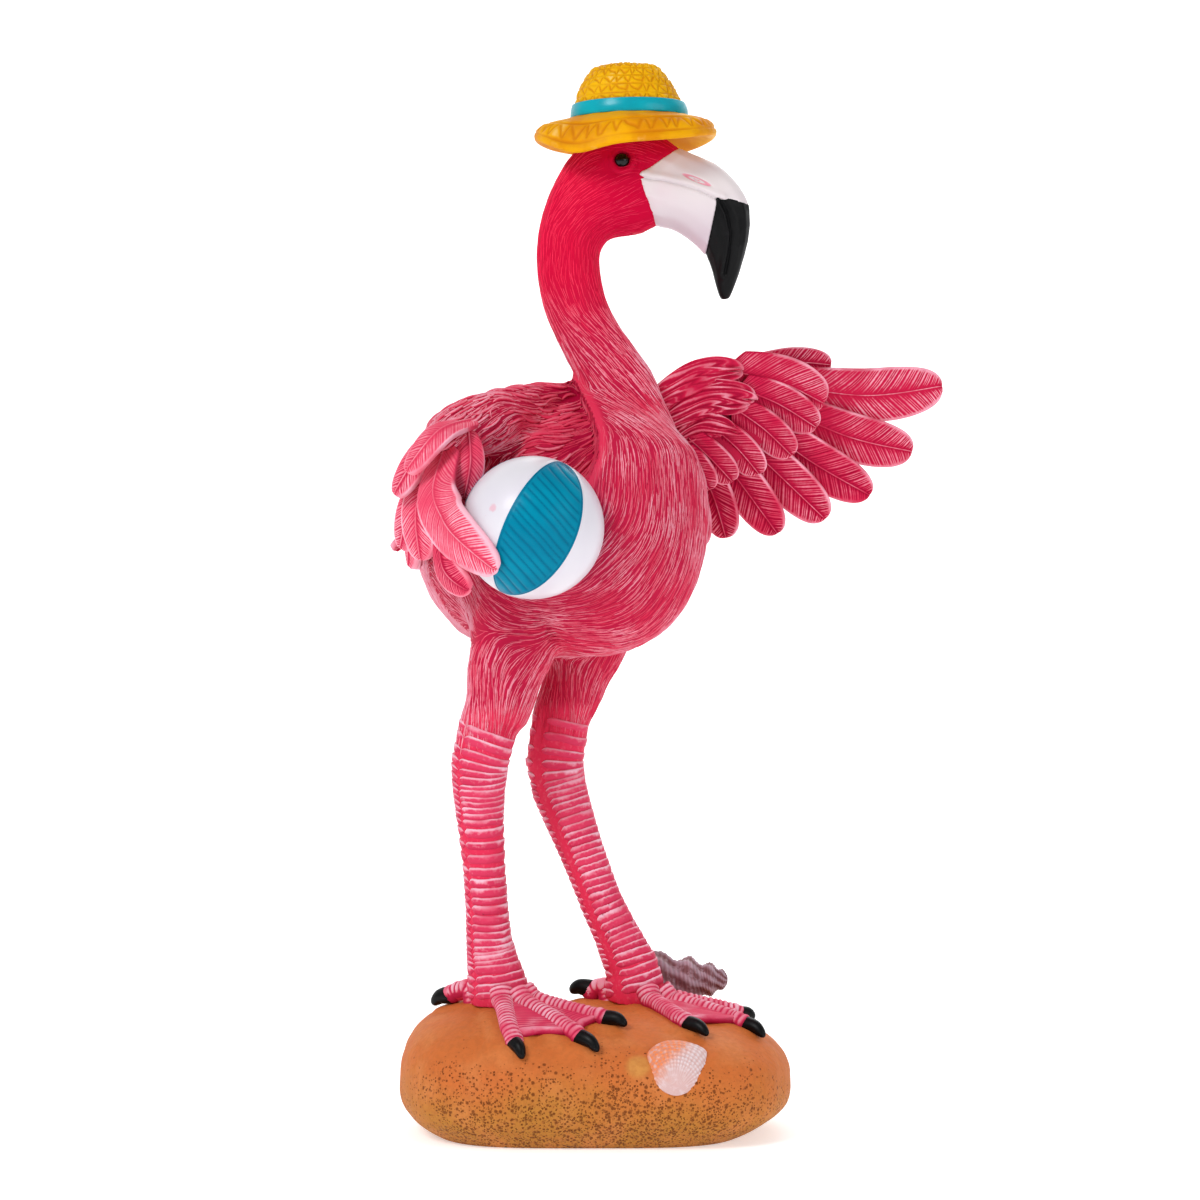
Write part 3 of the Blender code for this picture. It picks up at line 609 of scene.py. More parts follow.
# ---- lie of the strokes ----
# Guides: a place on the body and the way the carved strokes run there.
LIE = np.array([
    (4.5, -28, 222, .4, 0, -.9), (11.7, -30, 208, .35, 0, -.94), (18.8, -30, 194, .05, 0, -1),
    (11.7, -34, 186, -.1, 0, -1), (26, -20, 172, -.05, 0, -1), (8, -36, 176, -.6, 0, -.8),
    (19, -30, 165, -.5, 0, -.85), (15, -28, 158, -.65, 0, -.76), (4.5, -36, 174, -.75, 0, -.65),
    (8, -30, 154, -.85, 0, -.5), (-6, -32, 152, -.9, 0, -.35), (1, -25, 145, -.95, 0, -.1),
    (-20, -28, 147, -.95, 0, .1), (-27.6, -25, 154, -.8, 0, .5), (-45, -14, 162, -.6, .3, .8),
    (-40, -20, 154, -.7, .2, .7), (-29, -26, 143, -.4, 0, -.8), (-31, -28, 138, .05, 0, -1),
    (-36, -24, 132, 0, 0, -1), (-20, -24, 140, -.6, 0, -.8), (-31, -26, 128, -.05, 0, -1),
    (-7.6, 4, 133, 0, 0, -1), (-.5, 4, 137, -.35, 0, -.94), (-8, 26, 133, 0, 0, -1),
    (-30, 0, 132, 0, 0, -1), (-20, -20, 222, -.97, -.2, -.15), (-9, -8, 222, -.95, -.1, -.2),
    (-8, -14, 216, -.9, -.2, -.3), (-6, -22, 210, -.9, 0, -.35), (-5, -27, 203, -.7, 0, -.7),
    (-4, -12, 223, .72, 0, -.7), (-1, -19, 217, .6, 0, -.8), (2, -28, 212, .45, 0, -.9),
    (4, -34, 206, .15, 0, -1), (4, -38, 199, -.05, 0, -1), (4, -15, 224, .6, 0, -.8),
    (10, -22, 216, .45, 0, -.9), (-3, -10, 229, .75, 0, -.66), (3, -8, 233, .65, 0, -.76),
    (-7, -8, 240, .75, 0, -.66), (-12, -8, 248, .55, 0, -.83), (14, -12, 226, .5, 0, -.86),
    (-10, -24, 208, -.8, -.3, .35), (-35, -34, 212, -.6, -.6, -.5), (0, -24, 214, .3, 0, -.95),
    (-2, 8, 225, -.3, 0, -.95), (14, 6, 235, .35, 0, -.94), (-8, 10, 240, .3, 0, -.95),
    (-18, 0, 262, .1, 0, -1), (4, 0, 262, -.1, 0, -1), (-10, 0, 290, -.6, 0, -.8),
    (10, -10, 280, -.85, 0, -.5), (16, -9, 290, -.95, 0, .3), (8, -10, 297, -1, 0, .05),
    (2, -10, 276, -.9, 0, -.45), (-6, -10, 272, -.7, 0, -.75), (10, 10, 280, -.85, 0, -.5),
    (2, 10, 276, -.9, 0, -.45), (-6, 10, 272, -.7, 0, -.75), (8, 10, 297, -1, 0, .05),
    (12, -8, 272, -.97, 0, -.1), (-13, -8, 262, -.1, 0, -1), (-6, -9, 250, .25, 0, -.97),
    (0, -9, 241, .7, 0, -.72), (-6, -9, 262, 0, 0, -1),
    (-20, 26, 205, -.5, .7, -.5), (-30, 25, 180, -.6, .7, -.3), (-10, 36, 170, -.7, .6, -.35),
    (-44, 32, 172, .05, -.05, -1), (-50, 24, 168, .1, 0, -1), (-36, 38, 168, 0, 0, -1),
    (-42, 30, 162, .2, -.1, -1), (-34, 32, 156, .2, -.2, -1), (-48, 16, 160, .2, -.1, -1),
    (10, 30, 190, -.5, .7, -.5), (-20, 30, 150, -.2, 0, -1), (25, 15, 180, -.4, .5, -.75),
    (-48, 20, 178, -.6, .7, -.3), (14, 14, 162, -.7, .5, -.4), (30, 12, 210, .8, .4, .2),
    (48, 22, 222, .8, .4, .1), (22, 9, 212, .8, .4, .3), (34, 10, 222, .85, .4, .25),
    (19, -13, 212, .25, 0, -.96), (24, -9, 204, .1, 0, -1), (27, -4, 196, .05, .1, -1),
    (28, 0, 187, -.05, .1, -1), (14, -20, 214, .25, 0, -.97), (22, 0, 210, .2, .1, -.97),
    (16, -6, 220, .4, .1, -.9),
], float)
LIE_SIDE = far_from_line(LIE, NECK_EDGE)[1]


def lie_at(points, normals):
    """The way the strokes run at each place, flat on the surface.

    Guides beyond the neck's edge hardly count near it."""
    far = ((points[:, None] - LIE[None, :, :3]) ** 2).sum(axis=2)
    edge, side = far_from_line(points, NECK_EDGE)
    near = (edge < 20) & (points[:, 1] < -4) & (points[:, 2] > 186)
    far += 2500.0 * (near[:, None] & (side[:, None] != LIE_SIDE[None]))
    weights = 1 / (far + 12.0) ** 2
    way = (weights[..., None] * LIE[None, :, 3:]).sum(axis=1)
    way -= normals * (way * normals).sum(axis=1, keepdims=True)
    return unit(way)


def thin_out(points, ways, normals, along, across):
    """Keep places so that no two lie within an oval of each other along the lie."""
    cells = {}
    kept = []
    across_way = np.cross(normals, ways)
    for i, point in enumerate(points):
        key = tuple((point // along).astype(int))
        near = [j for dx in (-1, 0, 1) for dy in (-1, 0, 1) for dz in (-1, 0, 1)
                for j in cells.get((key[0] + dx, key[1] + dy, key[2] + dz), ())]
        if near:
            gap = points[near] - point
            forward = gap @ ways[i] / along
            aside = gap @ across_way[i] / across
            if ((forward ** 2 + aside ** 2) < 1).any():
                continue
        cells.setdefault(key, []).append(i)
        kept.append(i)
    return np.array(kept)


def spread(count, inside, along, across):
    """Roots of strokes: random places on the skin, thinned out."""
    place, normal = SKIN.land(scatter(count, inside))
    return place[thin_out(place, lie_at(place, normal), normal, along, across)]


def add_strokes(heap, starts, length, half_width, height, pale, tone, wander, rows=6):
    """Raised strokes on the skin: thin three-sided ridges that run with the lie."""
    count = len(starts)
    place, normal = SKIN.land(starts)
    step = np.broadcast_to(length, (count,)) / (rows - 1)
    turn = RANDOM.normal(0, wander, count)
    line, up, side = [place], [normal], []
    for k in range(rows - 1):
        way = lie_at(place, normal)
        aside = np.cross(normal, way)
        way = way + aside * np.tan(turn * (1 - 0.35 * k))[:, None]
        side.append(unit(np.cross(normal, way)))
        place, normal = SKIN.land(place + unit(way) * step[:, None])
        line.append(place)
        up.append(normal)
    side.append(side[-1])
    line, up, side = (np.stack(part, axis=1) for part in (line, up, side))
    share = np.linspace(0, 1, rows)
    taper = (np.sin(math.pi * share ** 0.8) ** 0.6)[None, :, None]
    wide = side * np.reshape(half_width, (-1, 1, 1)) * taper
    tall = up * np.reshape(height, (-1, 1, 1)) * taper
    crest = line + tall - up * 0.03
    left, right = line + wide - up * 0.16, line - wide - up * 0.16
    body = np.stack([left, crest, right], axis=2)[:, 1:-1]
    inner = body.reshape(count, -1, 3)
    points = np.concatenate([line[:, :1] - up[:, :1] * 0.1, inner, line[:, -1:] - up[:, -1:] * 0.1],
                            axis=1)
    each = points.shape[1]
    ring = np.arange((rows - 2) * 3).reshape(rows - 2, 3) + 1
    nxt = np.roll(ring, -1, axis=1)
    quads = np.stack([ring[:-1], ring[1:], nxt[1:], nxt[:-1]], axis=-1).reshape(-1, 4)
    ends = np.vstack([np.stack([ring[0], nxt[0], np.zeros(3, int)], axis=-1),
                      np.stack([nxt[-1], ring[-1], np.full(3, each - 1)], axis=-1)])
    offset = (np.arange(count) * each)[:, None, None]
    high = np.tile(np.concatenate([[0.1], np.tile([0.0, 1.0, 0.0], rows - 2), [0.1]]), count)
    heap.add(points.reshape(-1, 3), [(quads[None] + offset).reshape(-1, 4),
                                     (ends[None] + offset).reshape(-1, 3)],
             crest=high, pale=np.repeat(pale, each), tone=np.repeat(tone, each),
             root=np.repeat(np.arange(count), each) + len(ROOTS))
    ROOTS.extend(line[:, 0].tolist())


def on_body(points):
    """Where the small strokes go: not on shanks, feet or face, nor under the left wing's coverts."""
    x, y, z = points.T
    leg = z < np.where(x < -18, 122 + (x + 31) * -0.15, 124)
    leg |= (x > 21) & (z > 190) & (y > 0) & (y < 5 + (x - 12) * 0.52)
    face = (x > 26.5) & (z > 262)
    eye = np.linalg.norm(np.column_stack([x, np.abs(y), z]) - (EYE[0], 9.6, EYE[1]), axis=1) < 4.6
    hat = (z > 303) & (x > -12)
    return ~(leg | face | eye | hat)


def in_hollow(points):
    """The coarse plumes: on the shown arm, the back behind it and the hollow under it."""
    x, y, z = points.T
    far, side = far_from_line(points, NECK_EDGE)
    return (x < 2) & (z > 193) & (z < 240) & (side < 0) & (far > 1.2) & (y < 16) & (x > -46)


STROKES_TRIED = 110000          # random roots tried, and the oval that each kept one clears
STROKE_ROOM = (3.8, 0.42)
STROKES_IN_PIECE = 8000
PLUMES_TRIED = 6000
PLUME_ROOM = (6.0, 1.5)


def add_carved_strokes(heap, part):
    """The small strokes from the given roots, with the flow of the paint in their values."""
    z = part[:, 2]
    on_head = smooth_step(232, 258, z)
    low = smooth_step(190, 150, z)
    left = smooth_step(-26, -44, part[:, 0])
    behind = smooth_step(2, 12, part[:, 1]) * smooth_step(150, 140, z)
    pale = 0.6 - 0.18 * low + 0.9 * left - 0.35 * behind + 0.8 * bumps(part, 8.0)
    # Painted shade makes strokes in the hollow by the neck deep and less pale; along the neck's edge
    # they lie lower and less pale, with a lighter tone as a painted highlight.
    painted_shade, smooth = shade_and_highlight_by_neck(part)
    pale = (pale + RANDOM.normal(0, 0.22, len(z))) * (1 - 0.35 * on_head) * (1 - 0.8 * painted_shade)
    pale = np.clip(pale * (1 - 0.8 * smooth), 0, 1)
    tone = 0.25 + 0.5 * bumps(part, 6.0, 5.0) + RANDOM.normal(0, 0.15, len(z))
    tone = tone + 0.7 * smooth + 1.1 * left
    tone = np.clip(tone * (1 - painted_shade) * (1 - 0.4 * on_head), 0, 1.3)
    length = RANDOM.uniform(6.5, 12.0, len(z)) * (1 - 0.3 * on_head)
    width = RANDOM.uniform(0.20, 0.34, len(z)) * (1 - 0.25 * on_head)
    height = RANDOM.uniform(0.2, 0.36, len(z)) * (1 - 0.4 * on_head) * (1 - 0.6 * smooth)
    add_strokes(heap, part, length, width, height, pale, tone, wander=0.14)


def add_coarse_plumes(heap, part):
    size = RANDOM.uniform(0.7, 1.2, len(part))
    # Painted shade: plumes in the hollow by the neck are less pale and deeper in tone.
    painted_shade = shade_and_highlight_by_neck(part)[0]
    pale = np.clip((0.5 + 0.9 * bumps(part, 6.0, 4.0)) * (1 - 0.7 * painted_shade), 0, 1)
    tone = np.clip(0.3 + 0.5 * bumps(part, 5.0), 0, 1) * (1 - painted_shade)
    add_strokes(heap, part, RANDOM.uniform(6, 12, len(part)), 0.85 * size, 0.85 * size, pale, tone,
                wander=0.32, rows=9)


def make_coat():
    """All carved strokes, in pieces from the ground up, and the plumes of the hollow."""
    starts = spread(STROKES_TRIED, on_body, *STROKE_ROOM)
    starts = starts[np.argsort(starts[:, 2])]
    for number, part in enumerate(np.array_split(starts, math.ceil(len(starts) / STROKES_IN_PIECE))):
        heap = Heap()
        add_carved_strokes(heap, part)
        dress(heap.make(f"carved_strokes_{number + 1}", FLESH), "pink")
    heap = Heap()
    add_coarse_plumes(heap, spread(PLUMES_TRIED, in_hollow, *PLUME_ROOM))
    dress(heap.make("coarse_plumes", FLESH), "pink")


def finish_skin():
    """The skin's own values: scutes' ground below the thighs, painted shade and highlight beside the
    neck.
    """
    points = points_of(skin.data)
    bare = smooth_step(129, 123, points[:, 2])
    # Painted shade deepens the skin in the hollow by the neck; a painted highlight lightens it along the
    # neck's edge.
    painted_shade, smooth = shade_and_highlight_by_neck(points)
    keep_values(skin.data, crest=(0.18 + 0.3 * bare + 0.4 * smooth) * (1 - painted_shade), pale=0.5 * bare,
                tone=(0.3 + 0.4 * bare + 0.4 * smooth) * (1 - painted_shade))
    dress(skin, "pink", *FLESH_NODES)


make_coat()
finish_skin()


# ---- feathers ----
def feather_rows(path, face_root, face_tip, half_width, pitch=1.25, relief=0.32, thick=1.3,
                 tilt=0.0, slant=48.0, root=0.5, rough=1.0):
    """Closed rows of one feather: every row follows a barb from rim to shaft to rim.

    Returns the rows of points and, for each point, how high it lies on its ridge and how near
    the rim it is. The same relief is on both faces."""
    fine = curve(path, 200)
    length = length_of(fine)
    starts = np.arange(-0.12 * half_width, length - 0.1, pitch / 4)
    share = np.linspace(0, 1, 200)[:, None]
    side, face = sides_of(fine, unit(np.array(face_root) * (1 - share) + np.array(face_tip) * share))
    angle = math.radians(tilt)
    side, face = (side * math.cos(angle) + face * math.sin(angle),
                  face * math.cos(angle) - side * math.sin(angle))

    def width(s):
        t = np.clip(s / length, 0, 1)
        rise = root + (1 - root) * np.sin(np.minimum(t / 0.55, 1) * math.pi / 2)
        fall = np.where(t < 0.6, 1.0, np.sqrt(np.maximum(0, 1 - ((t - 0.6) / 0.4) ** 2)))
        return half_width * rise * fall

    lean = math.radians(slant)
    low, high = np.zeros(len(starts)), np.full(len(starts), half_width * 2.5)
    for _ in range(26):
        middle = (low + high) / 2
        over = middle * math.sin(lean) > width(starts + middle * math.cos(lean))
        over |= starts + middle * math.cos(lean) > length
        high = np.where(over, middle, high)
        low = np.where(over, low, middle)
    reach = low
    wave = 0.5 + 0.5 * np.cos(math.tau * (starts / pitch + 0.25 * np.sin(starts * 1.7)))
    strength = 0.55 + 0.45 * np.sin(starts * 0.55 + half_width) * rough
    shares = np.array([0.3, 0.52, 0.7, 0.85, 0.95, 1.0])
    near = np.minimum(reach[:, None] * np.array([0.1, 0.22]), np.array([0.42, 0.95]))
    out = np.concatenate([near, near[:, 1:] + (reach[:, None] - near[:, 1:]) * shares], axis=1)
    fade = np.array([0.1, 0.5, 0.9, 1.0, 1.0, 0.9, 0.55, 0.1])
    share_out = out / np.maximum(reach[:, None], 1e-6)
    dome = thick * np.sqrt(np.maximum(0.0, 1 - (share_out * 0.94) ** 2))
    ridge = relief * (wave * strength)[:, None] * fade
    trough = np.array([0.0, -0.28, 0, 0, 0, 0, 0, 0])
    top = dome + ridge + trough
    crest = np.clip(0.12 + wave[:, None] * fade * 0.9, 0, 1)
    run = (starts / length)[:, None]
    rim = smooth_step(0.8 - 0.3 * smooth_step(0.6, 1, run), 0.96, share_out) * smooth_step(0, 0.25, run)
    top = top + 0.18 * rim
    crest = np.maximum(crest, rim)
    shaft_top = np.full((len(starts), 1), thick + 0.38)
    shaft_crest = np.full((len(starts), 1), 0.95)
    s_out = starts[:, None] + out * math.cos(lean)
    t_out = out * math.sin(lean)

    def place(s, t, h):
        at = np.clip(s, 0, length) / length
        return (read_curve(fine, at) + read_curve(side, at) * t[..., None]
                + read_curve(face, at) * h[..., None])

    taper = smooth_step(0, 2.5, reach)[:, None]
    middle = np.zeros((len(starts), 1))
    one_face = [(s_out[:, ::-1], t_out[:, ::-1], top[:, ::-1], crest[:, ::-1], rim[:, ::-1]),
                (starts[:, None], middle, shaft_top, shaft_crest, middle + 0.5),
                (s_out, -t_out, top, crest, rim)]
    columns = []
    for sign in (1, -1):
        for part in one_face[::sign]:
            s, t, h, c, r = (array[:, ::sign] for array in part)
            columns.append((place(s, t, sign * h * (0.3 + 0.7 * taper)), c, r))
    return (*(np.concatenate(kind, axis=1) for kind in zip(*columns)),
            np.floor(starts / pitch + 0.5).astype(int))


def number_rows(rows, group):
    """Root numbers for rows that belong to groups; each group's root is its middle."""
    group = group - group.min()
    first = len(ROOTS)
    ROOTS.extend(rows[group == k].mean(axis=(0, 1)).tolist() for k in range(group.max() + 1))
    return with_ends(np.repeat(group + first, rows.shape[1]), first, first + group.max())


def add_feather(heap, path, face_root, face_tip, half_width, pale=0.6, tone=0.5, **shape):
    rows, crest, rim, barb = feather_rows(path, face_root, face_tip, half_width, **shape)
    points, faces = tube(rows)
    crest, rim = with_ends(crest, 0.4, 0.7), with_ends(rim, 0, 1)
    along = with_ends(np.repeat(np.linspace(0, 1, len(rows)), rows.shape[1]), 0, 1)
    cloud = bumps(points, 6.0, 9.0)
    barbs = pale * (0.35 + 0.8 * smooth_step(0.15, 0.75, along)) + 0.55 * cloud
    edge = (0.45 + 0.6 * pale + 0.9 * cloud) * rim
    heap.add(points, faces, crest=crest, pale=np.clip(np.maximum(barbs, edge), 0, 1), tone=tone,
             root=number_rows(rows, barb))


def add_lobe(heap, path, face, half_width, ridges, pale, tone):
    """A clump of plumes carved as one: wavy ridges run along it and end in a lobed tip."""
    fine = curve(path, 200)
    side, up = sides_of(fine, face)
    t = np.linspace(0, 1, 64)[:, None]
    angle = np.linspace(0, math.tau, 144, endpoint=False)[None]
    v, rise = np.cos(angle), np.sin(angle)
    seed = half_width * 7 + ridges
    wave = ridges * v / 2 + 0.6 * np.sin(4.2 * t + seed + v) + 0.2 * np.sin(11 * t + 4 * v + 2 * seed)
    ridge = np.abs(np.cos(math.pi * wave)) ** 1.4
    share = t * (1 - 0.1 * v ** 2 - 0.16 * (1 - ridge[-8:-7]) - 0.05 * np.sin(3 * v + seed))
    width = 0.5 + 0.5 * np.sin(np.minimum(t / 0.6, 1) * math.pi / 2)
    close = np.sqrt(np.maximum(0.004, 1 - (np.maximum(t - 0.74, 0) / 0.26) ** 2))
    fine_line = np.abs(np.cos(math.pi * (2.0 * wave + 0.25 * np.sin(9 * t + seed)))) ** 4
    carved = np.clip(rise * 3, -1, 1)
    height = close * (1.5 * rise + (0.7 * (ridge - 0.5) + 0.16 * fine_line) * carved)
    wide = half_width * width * close * v
    rows = (read_curve(fine, share) + read_curve(side, share) * wide[..., None]
            + read_curve(up, share) * height[..., None])
    points, faces = tube(rows)
    crest = 0.12 + 0.22 * ridge + 0.7 * np.maximum(ridge ** 8, 0.75 * fine_line) * np.abs(carved)
    crest = np.maximum(crest, smooth_step(0.92, 0.98, t) + 0 * rise)
    cloud = np.clip(pale + 0.7 * bumps(points, 7.0, 6.0), 0, 1)
    heap.add(points, faces, crest=with_ends(crest, 0.2, 0.9), pale=cloud, tone=tone, root=len(ROOTS))
    ROOTS.append(fine[0].tolist())


OUTWARD = (-.2, -1, 0)          # the way the stretched wing's shown face points
LEFT_VANES = [                  # path, half width, pale, tone
    ([(54, 31, 226), (84, 41, 222.6), (109.1, 49, 226)], 8.4, 1.0, 1.3),
    ([(52, 29, 221), (78, 38.5, 210), (99.4, 46, 205.4)], 7.6, 0.6, 0.6),
    ([(46, 25, 217), (66, 33.5, 202.5), (85.8, 40.5, 191.6)], 7.3, 0.35, 0.15),
    ([(40, 22, 213), (57, 29.5, 197.5), (71.6, 35, 184)], 7.1, 0.4, 0.1),
    ([(33, 19, 210), (45.5, 24, 194), (56.6, 30, 179.4)], 6.6, 0.38, 0.0),
    ([(29, 16, 206), (36.4, 20, 191), (40.6, 24, 177.8)], 5.8, 0.38, 0.0),
    ([(24, 13, 203), (29.4, 16, 188), (31.8, 18.5, 174.6)], 5.2, 0.36, 0.0),
    ([(44, 25, 230), (61, 33.5, 232.4), (73.4, 38, 232)], 4.6, 0.7, 0.5),
]
LEFT_COVERTS = [
    ([(41, 14.5, 228.4), (57, 21.6, 225.4), (70.6, 29.5, 219.6)], 8.2, 0.6, 0.7),
    ([(43, 14.5, 223.5), (56, 21.8, 219), (68.4, 30, 212.2)], 6.2, 0.5, 0.3),
    ([(42, 13.4, 217.5), (52, 20, 211), (60.6, 26.3, 203.4)], 5.6, 0.5, 0.2),
    ([(35, 10.5, 212), (43.6, 16, 205), (50.6, 22.3, 197.4)], 5.2, 0.5, 0.15),
    ([(28, 4.5, 208), (35.4, 9.5, 201.5), (42.0, 15.8, 195.0)], 4.9, 0.5, 0.05),
    ([(25, 2.5, 205), (30.4, 7, 198.8), (35.0, 12.4, 192.4)], 4.6, 0.5, 0.0),
    ([(22, 1.5, 201), (26.2, 5, 194), (29.4, 9.8, 187.6)], 4.4, 0.5, 0.0),
]
LEFT_LOBES = [                  # path, half width, ridges, pale, tone
    ([(18, 3.5, 195), (26, 7.2, 198.5), (33.0, 11.6, 195.6)], 3.4, 3, 0.4, 0.0),
    ([(19, 3.2, 200), (28, 7.2, 205), (37.5, 12.0, 202.6)], 4.0, 4, 0.4, 0.05),
    ([(19, 2.4, 205), (32, 7.0, 211), (43.5, 13.0, 209.4)], 4.6, 4, 0.45, 0.15),
    ([(18, 2.0, 211), (34, 7.6, 219.6), (49.5, 15.4, 219.4)], 5.6, 5, 0.5, 0.25),
    ([(16, 1.5, 217), (31, 7.5, 226.2), (45.6, 14.0, 228.4)], 5.0, 4, 0.5, 0.6),
]


def make_left_wing():
    heap = Heap()
    for path, half_width, pale, tone in LEFT_VANES:
        add_feather(heap, path, OUTWARD, OUTWARD, half_width, pale, tone, tilt=-9.0, pitch=1.15)
    primaries = heap.make("left_primaries", PLUMAGE)
    heap = Heap()
    for path, half_width, pale, tone in LEFT_COVERTS:
        add_feather(heap, path, OUTWARD, OUTWARD, half_width, pale, tone, tilt=-7.0, pitch=1.0,
                    relief=0.2, root=0.7)
    for path, half_width, ridges, pale, tone in LEFT_LOBES:
        add_lobe(heap, path, OUTWARD, half_width, ridges, pale, tone)
    coverts = heap.make("left_coverts", PLUMAGE)
    dress(primaries, "pink", "wing_left")
    dress(coverts, "pink")


RIGHT_VANES = [                 # path, face at root and tip, half width, pale, tone
    ([(-43, -34, 200), (-50.5, -37.5, 186), (-49.6, -36, 170)],
     (-.7, -.7, 0), (-.7, -.75, -.1), 6.4, .7, .6),
    ([(-36, -38, 200), (-42, -44, 184), (-39, -46, 168)],
     (-.5, -.8, 0), (-.5, -.85, -.1), 6.4, .7, .5),
    ([(-35, -35, 210), (-44.5, -46.5, 206), (-53.4, -48, 194.8)],
     (-.2, -.7, .7), (-.6, -.7, .3), 4.6, .5, .9),
    ([(-42, -41, 203), (-45.2, -50, 190), (-42.3, -55, 181.8), (-37.1, -63, 175.4), (-27, -69.2, 167.2)],
     (-.6, -.8, 0), (-.5, -.75, -.4), 8.2, .95, .9),
    ([(-36.5, -38, 207), (-35.6, -45, 198), (-37.2, -46.5, 187.5)],
     (.1, -1, 0), (-.2, -1, 0), 4.2, .45, .4),
    ([(-44, -44, 184), (-42, -56, 168), (-35, -62, 161.6)],
     (-.6, -.7, -.3), (-.4, -.8, -.5), 4.8, .15, -.2),
    ([(-41, -38, 206), (-50, -39, 200), (-57.4, -37, 188.6)],
     (-.7, -.7, 0), (-.8, -.6, 0), 5, .6, .4),
    ([(-42, -35, 203), (-52, -35, 187), (-55.8, -30, 173.2)],
     (-.8, -.6, 0), (-.8, -.6, -.1), 6, .6, .35),
    ([(-38, -28, 208), (-48, -25, 198), (-53, -21, 184), (-54, -15, 168)],
     (-.8, -.4, .4), (-.9, -.3, -.1), 7.4, .6, .4),
    ([(-32, -20, 212), (-45, -13, 201), (-52, -7, 186), (-53.4, 0, 168)],
     (-.8, -.3, .5), (-.95, 0, -.1), 7.8, .6, .4),
    ([(-24, -13, 216), (-39, -4, 207.5), (-50, 4, 190), (-53, 15, 170)],
     (-.5, 0, .8), (-.9, .3, 0), 7.8, .6, .4),
    ([(-15, -6, 218), (-32, 6, 214), (-45.5, 15.5, 202), (-51.5, 22, 190)],
     (-.4, .2, .9), (-.8, .5, .3), 7.4, .6, .4),
]


def make_right_wing():
    heap = Heap()
    for path, face_root, face_tip, half_width, pale, tone in RIGHT_VANES:
        add_feather(heap, path, face_root, face_tip, half_width, pale * 0.9, tone, tilt=4.0,
                    pitch=0.98, relief=0.24, rough=0.5)
    dress(heap.make("right_feathers", WORN), "pink", "wing_right")


TAIL_ROOT = np.array([-42.0, 30.0, 184.0])
BACKWARD = np.array([-1.0, 1.0, 0.0]) / math.sqrt(2)


def make_tail():
    heap = Heap()
    across = np.cross((0, 0, 1), BACKWARD)
    for i in range(5):
        step = (i - 2) / 2
        turn = math.radians(26) * step
        way = BACKWARD * math.cos(turn) + across * math.sin(turn)
        reach = 19.7 * (1 - 0.12 * abs(step))
        root = TAIL_ROOT + across * 6 * step - np.array([0, 0, 1.6 * abs(step) + 0.15 * i])
        drop = np.array([0, 0, 0.42 * reach])
        path = [root - way * 8, root + way * reach * 0.5 - drop * 0.35, root + way * reach - drop]
        add_feather(heap, path, (0, 0, 1), (0, 0, 1), 4.8, 0.6, 0.4, thick=1.4, pitch=1.1)
    dress(heap.make("tail_feathers", PLUMAGE), "pink", "tail")


make_left_wing()
make_right_wing()
make_tail()


# ---- shanks, toes and claws ----
SHANKS = {
    "right": [(-30.9, -14, 121), (-34.1, -14, 110), (-34.3, -13, 101.7), (-33.9, -12, 93.4),
              (-32.8, -11, 79), (-32.1, -10, 68), (-31.5, -9, 58), (-30.4, -8.5, 51), (-28.8, -9, 41)],
    "left": [(-10.2, 13, 124), (-12.3, 12, 109), (-10.6, 12, 100.3), (-7.6, 11, 92), (-4.4, 10, 83.5),
             (-1.1, 9, 75), (2.1, 8, 66.7), (6.2, 7, 58.3), (9.3, 6, 51.5), (12.4, 5.4, 42)],
}
FEET = {
    "right": {"ankle": (-28.6, -9.5), "toes": [(-24.6, -35.5), (-6.0, -35.0), (2.0, -25.0)],
              "hind": (-42.5, 0.5)},
    "left": {"ankle": (12.2, 5.0), "toes": [(25.6, -23.0), (43.6, -10.5), (42.5, 8.0)],
             "hind": (-0.5, 12.0)},
}
HEADING = np.array([1.0, -1.0, 0.0]) / math.sqrt(2)
RIDGE = [(-1.0, -0.4, 0.1), (-0.84, 0.4, 0.3), (-0.3, 0.7, 0.36), (0.35, 0.9, 0.42), (0.82, 1.0, 1.0),
         (1.0, -0.4, 0.2)]      # a scute's section: place across, height, crest
BAND_POINTS = 44
FRONT_SCUTES = {"right": (-57, 92), "left": (-80, 74)}      # degrees round the shank
BACK_SCUTES = (96, 264)


def add_ridge(heap, line, normals, half_width, height, pale, tone):
    """A raised band over a line on the skin, steepest on the side it ends toward."""
    side, _ = sides_of(line, normals)
    t = np.linspace(0, 1, len(line))
    taper = np.sqrt(np.clip((1 - np.abs(2 * t - 1)) * 7, 0.02, 1))
    wide = np.reshape(half_width, (-1, 1)) * taper[:, None]
    patch = 0.34 * smooth_step(-0.05, 0.45, bumps(line, 5.0, 7.0)) * taper
    rows = np.stack([line + side * wide * across + normals * (up * height * taper[:, None])
                     for across, up, _ in RIDGE], axis=1)
    crest = np.stack([crest + patch * (0.4 < crest < 0.6) for _, _, crest in RIDGE], axis=1)
    points, faces = tube(rows)
    pale = with_ends(np.repeat(pale, len(RIDGE)), 0.5, 0.5)
    heap.add(points, faces, crest=with_ends(crest, 0.2, 0.2), pale=pale, tone=tone, root=len(ROOTS))
    ROOTS.append(line[0].tolist())


